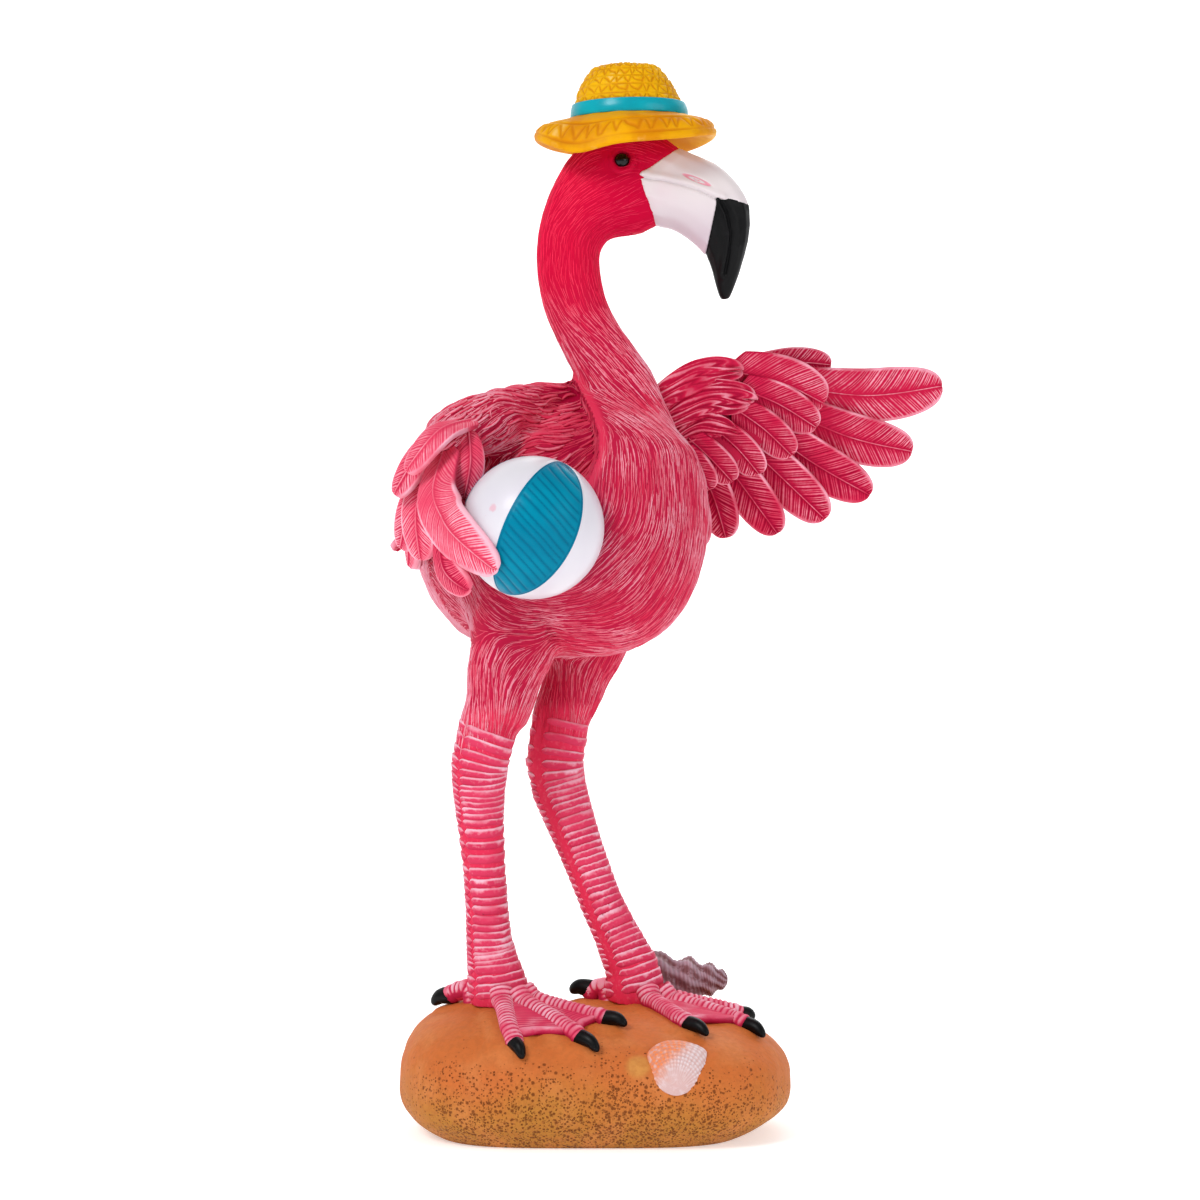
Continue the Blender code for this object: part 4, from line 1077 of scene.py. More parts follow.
def add_shank_bands(heap, side):
    """Broad scutes round the front of a shank and small ones down its back."""
    fine = curve(SHANKS[side], 400)
    length = length_of(fine)
    ahead = unit(np.gradient(fine, axis=0))
    at = 1.2
    while at < length - 1.0:
        pitch = RANDOM.uniform(2.0, 2.8)
        for (first, last), size in ((FRONT_SCUTES[side], 1.0), (BACK_SCUTES, 1.25)):
            share = np.array([(at + pitch / 2) / length])
            centre, along = read_curve(fine, share)[0], read_curve(ahead, share)[0]
            front = unit(HEADING - along * (HEADING @ along))
            aside = np.cross(along, front)
            angles = np.radians(np.linspace(first, last, BAND_POINTS) + RANDOM.uniform(-2, 2))
            out = front * np.cos(angles)[:, None] + aside * np.sin(angles)[:, None]
            sway = bumps(np.stack(np.broadcast_arrays(angles * 1.5, at, first), axis=1), 1.0)
            line = centre + out * 9 + along * (0.3 * sway + 0.5 * np.cos(angles))[:, None]
            spot, normal = SKIN.land(line)
            if np.abs((spot - centre) @ along).max() > 6:
                continue
            shine = np.clip(RANDOM.normal(0.8, 0.2) + 0.5 * bumps(spot, 5.0, 2.0), 0.25, 1)
            add_ridge(heap, spot, normal, pitch * 0.5 * (1.06 + 0.08 * sway), 0.36 * size, shine,
                      RANDOM.uniform(0.3, 0.9))
        at += pitch


MOUND_X = 58.8                  # half its length and width where it is widest, and that level
MOUND_Y = 46.0
MOUND_LEVEL = 14.5
MOUND_POWERS = (4.0, 2.2, 2.6)  # how square it is along, across and upward


def mound_height(x, share):
    """Height of the mound's upper surface: share 0 is its widest level and 1 its top."""
    return MOUND_LEVEL + (23.0 - 3.6 * x / MOUND_X) * share ** (1 / MOUND_POWERS[2])


def ground(x, y):
    """Height of the mound under a place."""
    inside = 1 - np.abs(x / MOUND_X) ** MOUND_POWERS[0] - np.abs(y / MOUND_Y) ** MOUND_POWERS[1]
    return mound_height(x, np.maximum(inside, 0))


CLAW_START = {"right": (0.42, 0.28, 0.2, 0.1),      # the share of each claw that its toe covers
              "left": (0.25, 0.2, 0.2, 0.1)}
TOE_SCUTE = 1.55                # how far apart scutes are along a toe and ridges on a web
WEB_RIDGE = 1.45


def claw_ends(side, number, ankle):
    """Middle of a claw's root and its tip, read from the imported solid."""
    points = points_of(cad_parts[f"claw_{side}_{number}"].data)
    far = np.linalg.norm(points[:, :2] - ankle, axis=1)
    root = points[far < far.min() + 2.0].mean(axis=0)
    return root, points[far.argmax()]


def toe_line(side, number, ankle, start):
    """Middle line of a toe, from the foot to a little way along its claw, and the claw's tip."""
    root, tip = claw_ends(side, number, ankle)
    end = root + (tip - root) * CLAW_START[side][number - 1]
    share = np.linspace(start, 1, 9)[:, None]
    flat = np.array(ankle) + (root[:2] - ankle) * share
    tops = []
    for x, y in flat:
        place = SKIN.tree.ray_cast(Vector((x, y, ground(x, y) + 11)), Vector((0, 0, -1)))[0]
        tops.append(ground(x, y) + 3.6 if place is None else place.z)
    tops = np.convolve([tops[0]] + tops + [tops[-1]], [0.25, 0.5, 0.25], "valid")
    line = np.column_stack([flat, tops - 2.3])[:-1]
    rise = (line[0] - line[1]) * 1.2 + (0, 0, 2.4 if number < 4 else 0.8)
    return np.vstack([line[0] + rise, line, [(line[-1] + end) / 2 + (0, 0, 0.4), end]]), tip


def add_toe(heap, line, half_width):
    """A toe ringed by small scutes, which ends in a cuff round its claw."""
    path = curve(line, 110)
    run = np.append(0, np.cumsum(np.linalg.norm(np.diff(path, axis=0), axis=1)))
    angle = np.linspace(0, math.tau, 22, endpoint=False)
    ring = np.abs(np.sin(math.pi * run / TOE_SCUTE + 0.4 * np.sin(run)))[:, None] ** 1.3
    upper = smooth_step(-0.35, 0.25, np.sin(angle))[None]
    left = run[-1] - run
    close = np.sqrt(np.clip(1 - (np.maximum(1.2 - left, 0) / 1.2) ** 2, 0.12, 1))
    fade = smooth_step(0.9, 1.8, left)[:, None]
    cuff = 0.22 * np.exp(-((left - 1.0) / 0.6) ** 2)
    radius = (half_width + cuff + 0.9 * smooth_step(10, 0, run)) * close
    radius = radius[:, None] + 0.36 * ring * upper * fade
    rows = rings(path, sides_of(path, (0, 0, 1)), angle, radius, radius * 0.95)
    points, faces = tube(rows)
    crest = 0.15 + 0.85 * ring * upper * np.maximum(fade, 0.6)
    heap.add(points, faces, crest=with_ends(crest, 0.1, 0.3),
             pale=np.clip(0.62 + 0.7 * bumps(points, 4.0, 1.0), 0.1, 0.9), tone=0.35,
             root=number_rows(rows, (run / TOE_SCUTE).astype(int)))


def add_web(heap, first, second):
    """A web between two toes, ridged like its bowed front edge."""
    count, around = 56, 26
    u = np.linspace(0, 1, around)
    share = np.linspace(0.08, 1.0, count)[:, None] * (0.93 - 0.4 * u * (1 - u))
    left, right = (read_curve(curve(toe, 200), share) for toe in (first, second))
    top = left + (right - left) * u[None, :, None]
    top[..., 2] += 1.9 - 1.1 * np.sin(math.pi * u) ** 0.7
    top[..., 2] = np.maximum(top[..., 2], ground(top[..., 0], top[..., 1]) + 2.3)
    run = np.linspace(0, np.linalg.norm(first[-1] - first[0]), count)[:, None]
    ridge = np.abs(np.sin(math.pi * run / WEB_RIDGE)) ** 1.3 * smooth_step(0.0, 0.12, u * (1 - u) * 4)
    top[..., 2] += 0.26 * ridge
    rows = np.concatenate([top, top[:, ::-1] - (0, 0, 2.6)], axis=1)
    points, faces = tube(rows)
    crest = np.concatenate([0.12 + 0.8 * ridge + 0 * share, np.zeros((count, around))], axis=1)
    crest[-2:, :around] = 1.0
    front = with_ends(np.repeat(np.linspace(0, 1, count) > 0.97, rows.shape[1]), 0, 1)
    cloud = np.clip(0.12 + 0.6 * bumps(points, 4.0, 2.0) + 0.3 * front, 0, 1)
    heap.add(points, faces, crest=with_ends(crest, 0.1, 0.25), pale=cloud, tone=0.0,
             root=number_rows(rows, (run[:, 0] / WEB_RIDGE).astype(int)))


def add_claw(line, name, side, number):
    """A short curved claw that thickens into its toe and bends down to a blunt point."""
    path = curve(line, 20)
    t = np.linspace(0, 1, 20)[:, None]
    wide = (2.3 if number < 4 else 2.7) * np.sqrt(np.maximum(0.02, 1 - t ** 2.4)) * (1 - 0.16 * t)
    angle = np.linspace(0, math.tau, 24, endpoint=False)
    keel = 1 + 0.12 * np.exp(-((np.sin(angle) - 1) / 0.25) ** 2)
    rows = rings(path, sides_of(path, (0, 0, 1)), angle, wide, wide * 0.98 * keel)
    dress(make_piece(name, *tube(rows), BLACK), "black", f"claw_{side}_{number}")


def make_feet():
    heap = Heap()
    for side, plan in FEET.items():
        add_shank_bands(heap, side)
        ankle = np.array(plan["ankle"])
        lines = []
        for number in (1, 2, 3, 4):
            line, tip = toe_line(side, number, ankle, 0.34 if number < 4 else 0.5)
            add_toe(heap, line, 2.55 if number < 4 else 2.8)
            lines.append(line)
            end = line[-1]
            claw = [end - unit(tip - end) * 1.2, (end + tip) / 2 + (0, 0, 1.3), tip + (0, 0, 0.4)]
            add_claw(claw, f"short_claw_{side}_{number}", side, number)
        add_web(heap, *lines[:2])
        add_web(heap, *lines[1:3])
    dress(heap.make("leg_scutes", SCUTES), "pink")


make_feet()


# ---- head gear: eyes, bill, hat ----
def make_eyes():
    g = Paint("glossy black eye", Base_Color=(0.001, 0.001, 0.0012), Roughness=0.1,
              Specular_IOR_Level=0.3)
    g.set(Normal=g.bump(g.noise(500.0, 2.0), 0.05, 0.0001))
    for side, sign in (("right", -1), ("left", 1)):
        eye = sphere(f"eyeball_{side}", (EYE[0], sign * 8.95, EYE[1]), 2.28, 40, 24)
        paint(eye.data, g.material)
        dress(eye, "black", f"eye_{side}")


make_eyes()


MOUTH_LINE = [(13.0, 283.9), (20, 283.4), (27, 281.9), (32, 280.2), (37.5, 277.6)]
TIP_LINE = [(36.6, 279.5), (39.4, 274), (40.7, 268), (40.0, 262), (38.8, 256)]
BILL_BORDER = [(28.5, 294.5), (26.7, 293.3), (14.4, 284.0), (18.8, 271.6), (19.2, 270)]
TIP_BORDER = [(46.8, 276.6), (46.4, 276.6), (36.5, 279.0), (33.0, 262.1), (32.8, 261)]
NOSTRIL = (30.3, 283.7)
NOSTRIL_SIZE = (3.6, 0.62)
NOSTRIL_COS = math.cos(math.radians(-22))
NOSTRIL_SIN = math.sin(math.radians(-22))


def bill_relief(points):
    far, side = far_from_line(points, MOUTH_LINE)
    lip = np.where(side > 0, 0.5 * np.exp(-((far - 1.0) / 1.2) ** 2), 0.0)
    x, z = points[:, 0] - NOSTRIL[0], points[:, 2] - NOSTRIL[1]
    nostril = np.hypot((x * NOSTRIL_COS + z * NOSTRIL_SIN) / NOSTRIL_SIZE[0],
                       (z * NOSTRIL_COS - x * NOSTRIL_SIN) / NOSTRIL_SIZE[1])
    return (lip - 0.75 * np.exp(-(far / 0.42) ** 2) - 0.28 * np.exp(-((nostril - 1) / 0.26) ** 2)
            - 0.35 * np.exp(-(nostril / 0.35) ** 2))


def tip_relief(points):
    far, side = far_from_line(points, TIP_LINE)
    lip = np.where(side > 0, 0.0, 0.35 * np.exp(-((far - 1.1) / 0.9) ** 2))
    return lip - 0.8 * np.exp(-(far / 0.45) ** 2)


def tuck_in(points, border, depth):
    """Push the end of a piece that meets its neighbour a little way into it."""
    far, _ = far_from_line(points, border)
    middle = np.mean(border, axis=0)
    away = unit(points[:, [0, 2]].mean(axis=0) - middle)
    points[:, [0, 2]] -= away * (depth * smooth_step(1.3, 0.5, far))[:, None]
    return points


def bill_paint():
    """White that greys toward the lower half as a painted shade, with the nostril's rim dragged in red.
    """
    g = Paint("white bill paint", Roughness=0.4, Specular_IOR_Level=0.25)
    # Painted shade: the bill's lower half turns a darker lilac grey.
    colour = g.mix(g.between(g.height(), 0.285, 0.262), (0.74, 0.67, 0.68), (0.55, 0.47, 0.53))
    colour = g.clouds(55.0, 0.45, 0.75, colour, (0.72, 0.52, 0.60), 0.35)
    axes = g.split(g.place())
    x, z = (g.minus(axes[k], middle * MM) for k, middle in zip((0, 2), NOSTRIL))
    wide, tall = (size * MM for size in NOSTRIL_SIZE)
    u = g.plus(g.times(x, NOSTRIL_COS / wide), g.times(z, NOSTRIL_SIN / wide))
    v = g.minus(g.times(z, NOSTRIL_COS / tall), g.times(x, NOSTRIL_SIN / tall))
    ring = g.math("SQRT", g.plus(g.times(u, u), g.times(v, v)))
    line = g.between(g.math("ABSOLUTE", g.minus(ring, 1.0)), 0.4, 0.15)
    line = g.math("MAXIMUM", line, g.between(ring, 0.4, 0.2))
    patchy = g.times(line, g.between(g.noise(420.0, 2.0), 0.2, 0.5))
    colour = g.mix(g.times(patchy, 0.8), colour, (0.80, 0.22, 0.32))
    return g.finish(colour, g.noise(240.0), 0.08, 0.0003)


def make_bill():
    parts = (("bill", bill_relief, bill_paint(), BILL_BORDER, 1.6),
             ("bill_tip", tip_relief, BLACK, TIP_BORDER, 0.7))
    for node, relief, material, border, depth in parts:
        piece = merged_copy(node, f"{node}_shaped")
        swell(piece.data, 0.15)
        apply(piece, "REMESH", mode="VOXEL", voxel_size=0.3 * MM)
        mesh = piece.data
        relax(mesh, 90, 0.95)
        points = points_of(mesh)
        if node == "bill":
            ends = np.minimum(*(far_from_line(points, line)[0] for line in (BILL_BORDER, TIP_BORDER)))
            relax(mesh, 90, smooth_step(0.5, 3.0, ends), back=0.0)
            swell(mesh, 0.15)
        else:
            relax(mesh, 110, smooth_step(258, 252.5, points[:, 2]), back=0.0)
            points = points_of(mesh)
            points[:, 2] -= 1.5 * smooth_step(262, 250.5, points[:, 2])
            set_points(mesh, points)
        swell(mesh, -0.08)
        swell(mesh, relief(points_of(mesh))[:, None])
        set_points(mesh, tuck_in(points_of(mesh), border, depth))
        paint(mesh, material)
        dress(piece, "white" if node == "bill" else "black", node)


make_bill()

HAT_CENTRE = np.array([10.6, 0.0, 302.8])
HAT_TILT = math.radians(-1.4)
BRIM_SHIFT = -1.3
HAT_PROFILE = [     # half length, half width, height, share of the brim's drop, share of its shift
    (0.02, 0.02, 16.45, 0, 0), (3.1, 2.8, 16.4, 0, 0), (7.0, 6.5, 16.2, 0, 0), (10.0, 9.3, 15.4, 0, 0),
    (12.1, 11.0, 13.1, 0, 0), (14.0, 12.7, 10.3, 0, 0), (15.3, 13.8, 7.4, 0, 0), (16.1, 14.6, 5.0, 0, 0),
    (16.5, 15.0, 2.8, 0, 0), (16.8, 15.2, 0.9, 0, 0), (18.6, 16.5, 0.4, 0.04, 0.1),
    (22.2, 19.6, 0.9, 0.26, 0.5), (25.2, 22.0, 1.4, 0.58, 0.8), (27.0, 23.5, 0.9, 0.88, 1),
    (27.5, 23.95, -0.4, 1, 1), (27.0, 23.5, -1.5, 1, 1), (25.2, 21.8, -2.1, 0.86, 1),
    (21.0, 18.2, -2.6, 0.44, 0.5), (14.8, 12.8, -2.6, 0, 0), (0.5, 0.5, -2.6, 0, 0),
]
BRAID = 3.05                    # width of one braid of straw
CHEVRONS = {"crown": 27, "brim": 34}        # zigzags round the hat
BRIM_START = 10.5 / 19          # where the brim starts along the profile


def hat_place(profile, angle):
    """Points of the hat for rows of the profile at angles round it."""
    half_x, half_y, rise, drop, slide = (profile[:, k][:, None] for k in range(5))
    cos, sin = np.cos(angle)[None], np.sin(angle)[None]
    steep = np.abs(sin)
    sweep = np.where(sin < 0, 4.4, 2.4 + 1.8 * smooth_step(-0.2, 0.6, cos))
    hang = 4.1 + sweep * steep ** 1.2 - 0.7 * cos * steep
    hang += 3.7 * np.exp(-((cos + 0.62) / 0.35) ** 2) * np.maximum(-sin, 0)
    x = half_x * cos + BRIM_SHIFT * slide - 0.3 - 0.7 * smooth_step(2, 9, rise)
    z = rise - drop * hang
    return HAT_CENTRE + np.stack([x * math.cos(HAT_TILT) + z * math.sin(HAT_TILT), half_y * sin + 0 * z,
                                  z * math.cos(HAT_TILT) - x * math.sin(HAT_TILT)], axis=-1)


def weave(along, angle, cycles):
    """How deep the straw's grooves are: 1 in a groove, 0 on the straw."""
    row = along / BRAID
    inside = row - np.floor(row)
    edge = np.exp(-((np.minimum(inside, 1 - inside) * BRAID) / 0.32) ** 2)
    turn = (angle / math.tau * cycles + 0.5 * (np.floor(row) % 2) + 0.16 * np.sin(angle * 7 + 2 * row)
            + 0.1 * np.sin(angle * 19 + row))
    slope = np.abs(2 * (turn - np.floor(turn)) - 1)
    reach = 0.86 + 0.12 * np.sin(angle * 23 + 3 * np.floor(row))
    zigzag = np.exp(-((slope * reach - inside) * BRAID / 2.1 / 0.34) ** 2)
    zigzag *= smooth_step(0.06, 0.2, inside) * smooth_step(0.98, 0.8, inside)
    return np.maximum(edge * (0.75 + 0.25 * np.sin(angle * 5 + row)), zigzag * 0.9)


def straw_paint():
    g = Paint("yellow straw paint", Roughness=0.5, Specular_IOR_Level=0.08)
    groove = g.value("groove")
    crown = g.clouds(120.0, 0.35, 0.7, (0.70, 0.34, 0.0004), (0.77, 0.41, 0.0015))
    brim = g.clouds(85.0, 0.4, 0.62, (0.65, 0.24, 0.0002), (0.76, 0.35, 0.0004))
    colour = g.mix(g.between(g.height(), 0.307, 0.303), crown, brim)
    # The grooves turn a darker orange: partly the straw paint's own colour, partly painted shade.
    colour = g.mix(g.times(g.between(groove, 0.2, 1.0), 0.7), colour, (0.54, 0.155, 0.0004))
    worn = g.times(g.between(g.noise(95.0, 4.0), 0.60, 0.72), g.between(groove, 0.3, 0.0))
    colour = g.mix(g.times(worn, 0.35), colour, (0.88, 0.72, 0.34))
    return g.finish(colour, g.noise(700.0), 0.2, 0.0002)


def make_hat():
    fine = curve(HAT_PROFILE, 900)
    step = np.hypot(np.diff(fine[:, 0]), np.diff(fine[:, 2] - 5.0 * fine[:, 3]))
    along = np.append(0, np.cumsum(step))
    rim = along[np.argmax(fine[:, 0])]
    wanted = np.concatenate([np.arange(0.05, rim, 0.36), np.linspace(rim, along[-1], 34)])
    picked = np.searchsorted(along, wanted).clip(0, len(fine) - 1)
    angle = np.linspace(0, math.tau, 400, endpoint=False)
    profile, run = fine[picked], along[picked][:, None]
    rows = hat_place(profile, angle)
    foot = along[int((len(fine) - 1) * BRIM_START)]
    groove = np.where(run < foot, weave(run - foot + 20 * BRAID, angle[None], CHEVRONS["crown"]),
                      weave((run - foot - 3.4) * 0.62, angle[None], CHEVRONS["brim"]))
    groove *= (run > 0.8) & ((run < foot - 5.5) | (run > foot + 3.2))
    groove *= smooth_step(rim - 0.1, rim - 1.2, run)
    ahead = np.gradient(rows, axis=0)
    around = np.roll(rows, -1, axis=1) - np.roll(rows, 1, axis=1)
    normal = unit(np.cross(around, ahead))
    normal *= np.sign(normal[5, :, 2].mean())
    lumps = np.sin(angle * 9 + 1.3 * run) * np.sin(angle * 4 + run) * (run < foot)
    rows = rows + normal * (0.16 * lumps - 0.5 * groove - 0.1)[..., None]
    hat = make_piece("straw_hat", *tube(rows), straw_paint(), groove=with_ends(groove, 0, 0))
    dress(hat, "straw", "hat")


BAND_SECTION = [(16.4, 0.2, 0), (17.3, 0.25, .3), (17.66, 0.7, .5), (17.6, 2.4, .5), (17.1, 4.1, .5),
                (16.85, 4.45, .3), (16.0, 4.5, 0)]


def make_hat_band():
    out, rise, _ = curve(BAND_SECTION, 22).T
    profile = np.column_stack([out, out - 1.55, rise, 0 * out, 0 * out])
    rows = hat_place(profile, np.linspace(0, math.tau, 160, endpoint=False)).transpose(1, 0, 2)
    rows = np.concatenate([rows, rows[:1]])
    g = Paint("glossy turquoise enamel", Roughness=0.25, Specular_IOR_Level=0.2)
    colour = g.clouds(80.0, 0.3, 0.7, (0.0003, 0.28, 0.36), (0.0008, 0.36, 0.44))
    band = make_piece("turquoise_hat_band", *tube(rows, capped=False),
                      g.finish(colour, g.noise(160.0), 0.15, 0.0005))
    select_only(band)
    bpy.ops.object.mode_set(mode="EDIT")
    bpy.ops.mesh.select_all(action="SELECT")
    bpy.ops.mesh.remove_doubles(threshold=1e-6)
    bpy.ops.mesh.normals_make_consistent(inside=False)
    bpy.ops.object.mode_set(mode="OBJECT")
    dress(band, "turquoise", "hat_band")


make_hat()
make_hat_band()


# ---- the ball ----
BALL_CENTRE = np.array([-17.7, -52.0, 179.2])
BALL_RADIUS = 20.7
BALL_LEAN = math.radians(25)
GORE = math.radians(60)
GORE_START = math.radians(-21)  # a turquoise gore's left border, seen along +Y
RIB_PITCH = 2.3
RIB_SLANT = math.tan(math.radians(23))
BALL_AXIS = np.array([math.sin(BALL_LEAN), 0, math.cos(BALL_LEAN)])
BALL_RIGHT = np.array([math.cos(BALL_LEAN), 0, -math.sin(BALL_LEAN)])
DABS = (((-0.0287, -0.0688, 0.1845), 0.0011), ((-0.0296, -0.0684, 0.1890), 0.0004),
        ((-0.0300, -0.0672, 0.1822), 0.0005))       # pink dabs on the white: place and size


def gore_share(points):
    """Place in the round of gores: 0 to 1 in a turquoise one, 1 to 2 in a white one."""
    return ((np.arctan2(points @ BALL_RIGHT, -points[:, 1]) - GORE_START) / GORE) % 2


def make_ball():
    ball = sphere("beach_ball", BALL_CENTRE, BALL_RADIUS - 0.2, 240, 140, BALL_LEAN)
    mesh = ball.data
    points = points_of(mesh) - BALL_CENTRE
    height = points @ BALL_AXIS
    share = gore_share(points)
    painted = share < 1
    border = np.minimum(np.minimum(share, np.abs(share - 1)), 2 - share)
    border = border * GORE * np.sqrt(np.maximum(1, BALL_RADIUS ** 2 - height ** 2))
    lines = height + (points @ BALL_RIGHT) * RIB_SLANT
    uneven = bumps(np.column_stack([lines, 0 * lines, 0 * lines]), 4.0) * 0.3 + bumps(points, 9.0) * 0.12
    rib = np.abs(np.sin(math.pi * (lines / RIB_PITCH + uneven)))
    groove = np.exp(-(rib / 0.45) ** 2) * smooth_step(0.5, 1.6, border) * painted
    seam = np.exp(-((border - 0.35) / 0.28) ** 2)
    depth = -0.22 * groove - 0.2 * seam - 0.08
    set_points(mesh, points * (1 + depth[:, None] / BALL_RADIUS) + BALL_CENTRE)
    keep_values(mesh, groove=np.maximum(groove, seam * painted))
    paint(mesh, ball_white())
    mesh.materials.append(ball_turquoise())
    centres = read_all(mesh.polygons, "center", width=3) / MM - BALL_CENTRE
    mesh.polygons.foreach_set("material_index", (gore_share(centres) < 1).astype(np.int32))
    dress(ball, "ball_paint", "ball")


def ball_white():
    g = Paint("pearly white ball paint", Roughness=0.3, Specular_IOR_Level=0.3)
    colour = g.clouds(40.0, 0.35, 0.7, (0.70, 0.68, 0.73), (0.66, 0.62, 0.70))
    for spot, size in DABS:
        ragged = g.plus(g.far_from(spot), g.times(g.noise(900.0, 2.0), size))
        dab = g.between(ragged, size * 1.9, size * 1.2)
        colour = g.mix(g.times(dab, 0.7), colour, (0.72, 0.38, 0.46))
    return g.finish(colour, g.noise(150.0), 0.06, 0.0004)


def ball_turquoise():
    g = Paint("turquoise ball enamel", Roughness=0.3, Specular_IOR_Level=0.05)
    colour = g.clouds(60.0, 0.3, 0.7, (0.0002, 0.185, 0.305), (0.0003, 0.24, 0.37))
    colour = g.mix(g.times(g.value("groove"), 0.8), colour, (0.0002, 0.105, 0.20))
    return g.finish(colour, g.noise(200.0), 0.12, 0.0004)


make_ball()


# ---- mound and shells ----
BARE_SPOT = (0.0125, -0.042, 0.0245)       # a yellow knob beside the scallop
PITS = ((1500.0, 0.40), (1000.0, 0.42), (620.0, 0.38))      # scale of their cells, largest reach


def sand_paint():
    """Orange over yellow, spattered with small dark pits that crowd together low in front."""
    g = Paint("orange sand paint", Roughness=0.65, Specular_IOR_Level=0.12)
    cloud = g.noise(38.0)
    drift = g.plus(g.height(), g.times(g.minus(cloud, 0.5), 0.03))
    # Darker and yellower toward the bottom.
    colour = g.mix(g.between(drift, 0.004, 0.026), (0.47, 0.195, 0.032), (0.58, 0.150, 0.034))
    colour = g.clouds(90.0, 0.45, 0.7, colour, (0.64, 0.225, 0.068), 0.5)
    bare = g.between(g.plus(g.far_from(BARE_SPOT), g.times(cloud, 0.004)), 0.0068, 0.0045)
    colour = g.mix(g.times(bare, 0.7), colour, (0.60, 0.30, 0.07))
    aside = g.math("ABSOLUTE", g.plus(g.split(g.place())[0], 0.004))
    middle = g.plus(g.times(g.between(aside, 0.060, 0.030), 0.6), 0.4)
    low = g.times(g.between(g.height(), 0.032, 0.010), middle)
    crowd = g.plus(g.times(low, 0.8), g.times(g.minus(g.noise(60.0, 2.0), 0.5), 0.9))
    crowd = g.minus(g.plus(crowd, 0.13), g.times(bare, 0.6))
    pits = 0.0
    for scale, size in PITS:
        cells = g.node("ShaderNodeTexVoronoi", {"Vector": g.place(), "Scale": scale}).outputs
        chance = g.split(cells["Color"])[0]
        reach = g.times(g.times(g.minus(crowd, chance), 3.0, clamp=True), size)
        pits = g.math("MAXIMUM", pits, g.times(g.minus(reach, cells["Distance"]), 5.0, clamp=True))
    grit = g.noise(700.0)
    colour = g.mix(g.times(g.between(grit, 0.35, 0.7), 0.35), colour, (0.42, 0.12, 0.03))
    colour = g.mix(g.times(pits, 0.85), colour, (0.15, 0.035, 0.006))
    return g.finish(colour, g.minus(g.times(grit, 0.6), pits), 0.8, 0.0004)


def mound_place(share, angle, scale=1.0):
    """Points of the mound: share 0 is its widest level and 1 its top."""
    cos, sin = np.cos(angle), np.sin(angle)
    left = 1 - share
    x = MOUND_X * scale * np.copysign((left * cos * cos) ** (1 / MOUND_POWERS[0]), cos)
    y = MOUND_Y * scale * np.copysign((left * sin * sin) ** (1 / MOUND_POWERS[1]), sin)
    return np.stack([x, y, mound_height(x, share)], axis=-1)


KNOB = (12.5, -41, 24.5)


def make_mound():
    around = np.linspace(0, math.tau, 420, endpoint=False)
    angle = around - 0.22 * np.sin(4 * around)
    rows = []
    for z in np.concatenate([[0.0, 0.0], np.linspace(0.15, 14.0, 22)]):
        drop = (MOUND_LEVEL - z) / MOUND_LEVEL
        ring = mound_place(0.0, angle, 1 - 0.22 * drop ** 2.6)
        ring[:, 2] = z
        rows.append(ring + (-1.8 * drop ** 2, 0, 0))
    rows[0] = rows[0] * (0.96, 0.96, 1)
    for share in 1 - np.linspace(1, 0.001, 110) ** 1.5:
        rows.append(mound_place(share, angle))
    rows = np.array(rows)
    flat = rows.reshape(-1, 3)
    wave = 0.55 * bumps(flat, 14.0, 3.0) + 0.2 * bumps(flat, 4.5, 8.0) - 0.45
    out = unit(flat - (0, 0, 12.0))
    lift = wave * smooth_step(0.0, 4.0, flat[:, 2])
    bump = 1.3 * np.exp(-(np.linalg.norm(flat - KNOB, axis=1) / 2.6) ** 2)
    near = np.full(len(flat), 1e9)
    for plan in FEET.values():
        for root in (*plan["toes"], plan["hind"]):
            near = np.minimum(near, far_from_line(flat, [plan["ankle"], root], (0, 1))[0])
    bump += 1.3 * smooth_step(8.5, 3.5, near) * smooth_step(24, 30, flat[:, 2])
    flat = flat + out * (lift + bump)[:, None]
    dress(make_piece("sand_mound", *tube(flat.reshape(rows.shape)), sand_paint()), "sand", "base")


make_mound()


def shell_paint(name, first, second, third):
    """Paint that follows the shell: the value 'fade' runs from its coloured to its pale end."""
    g = Paint(name, Roughness=0.5, Specular_IOR_Level=0.2)
    ragged = g.plus(g.value("fade"), g.times(g.minus(g.noise(300.0), 0.5), 0.5))
    colour = g.mix(g.between(ragged, 0.15, 0.55), first, second)
    colour = g.mix(g.times(g.value("groove"), 0.6), colour, third)
    colour = g.clouds(600.0, 0.5, 0.68, colour, second, 0.45)
    return g.finish(colour, g.noise(600.0), 0.25, 0.0002)


SCALLOP_CENTRE = np.array([24.0, -40.6, 25.6])
SCALLOP_RIM = [(0, 8.0), (12, 8.3), (25, 9.4), (39, 8.4), (59, 7.2), (82, 6.8), (105, 6.9), (132, 7.8),
               (148, 8.4), (164, 9.3), (186, 8.5), (208, 8.8), (222, 9.5), (238, 9.9), (251, 10.2),
               (267, 10.3), (287, 9.4), (306, 8.8), (325, 8.0), (346, 7.7), (360, 8.0)]  # degrees, reach


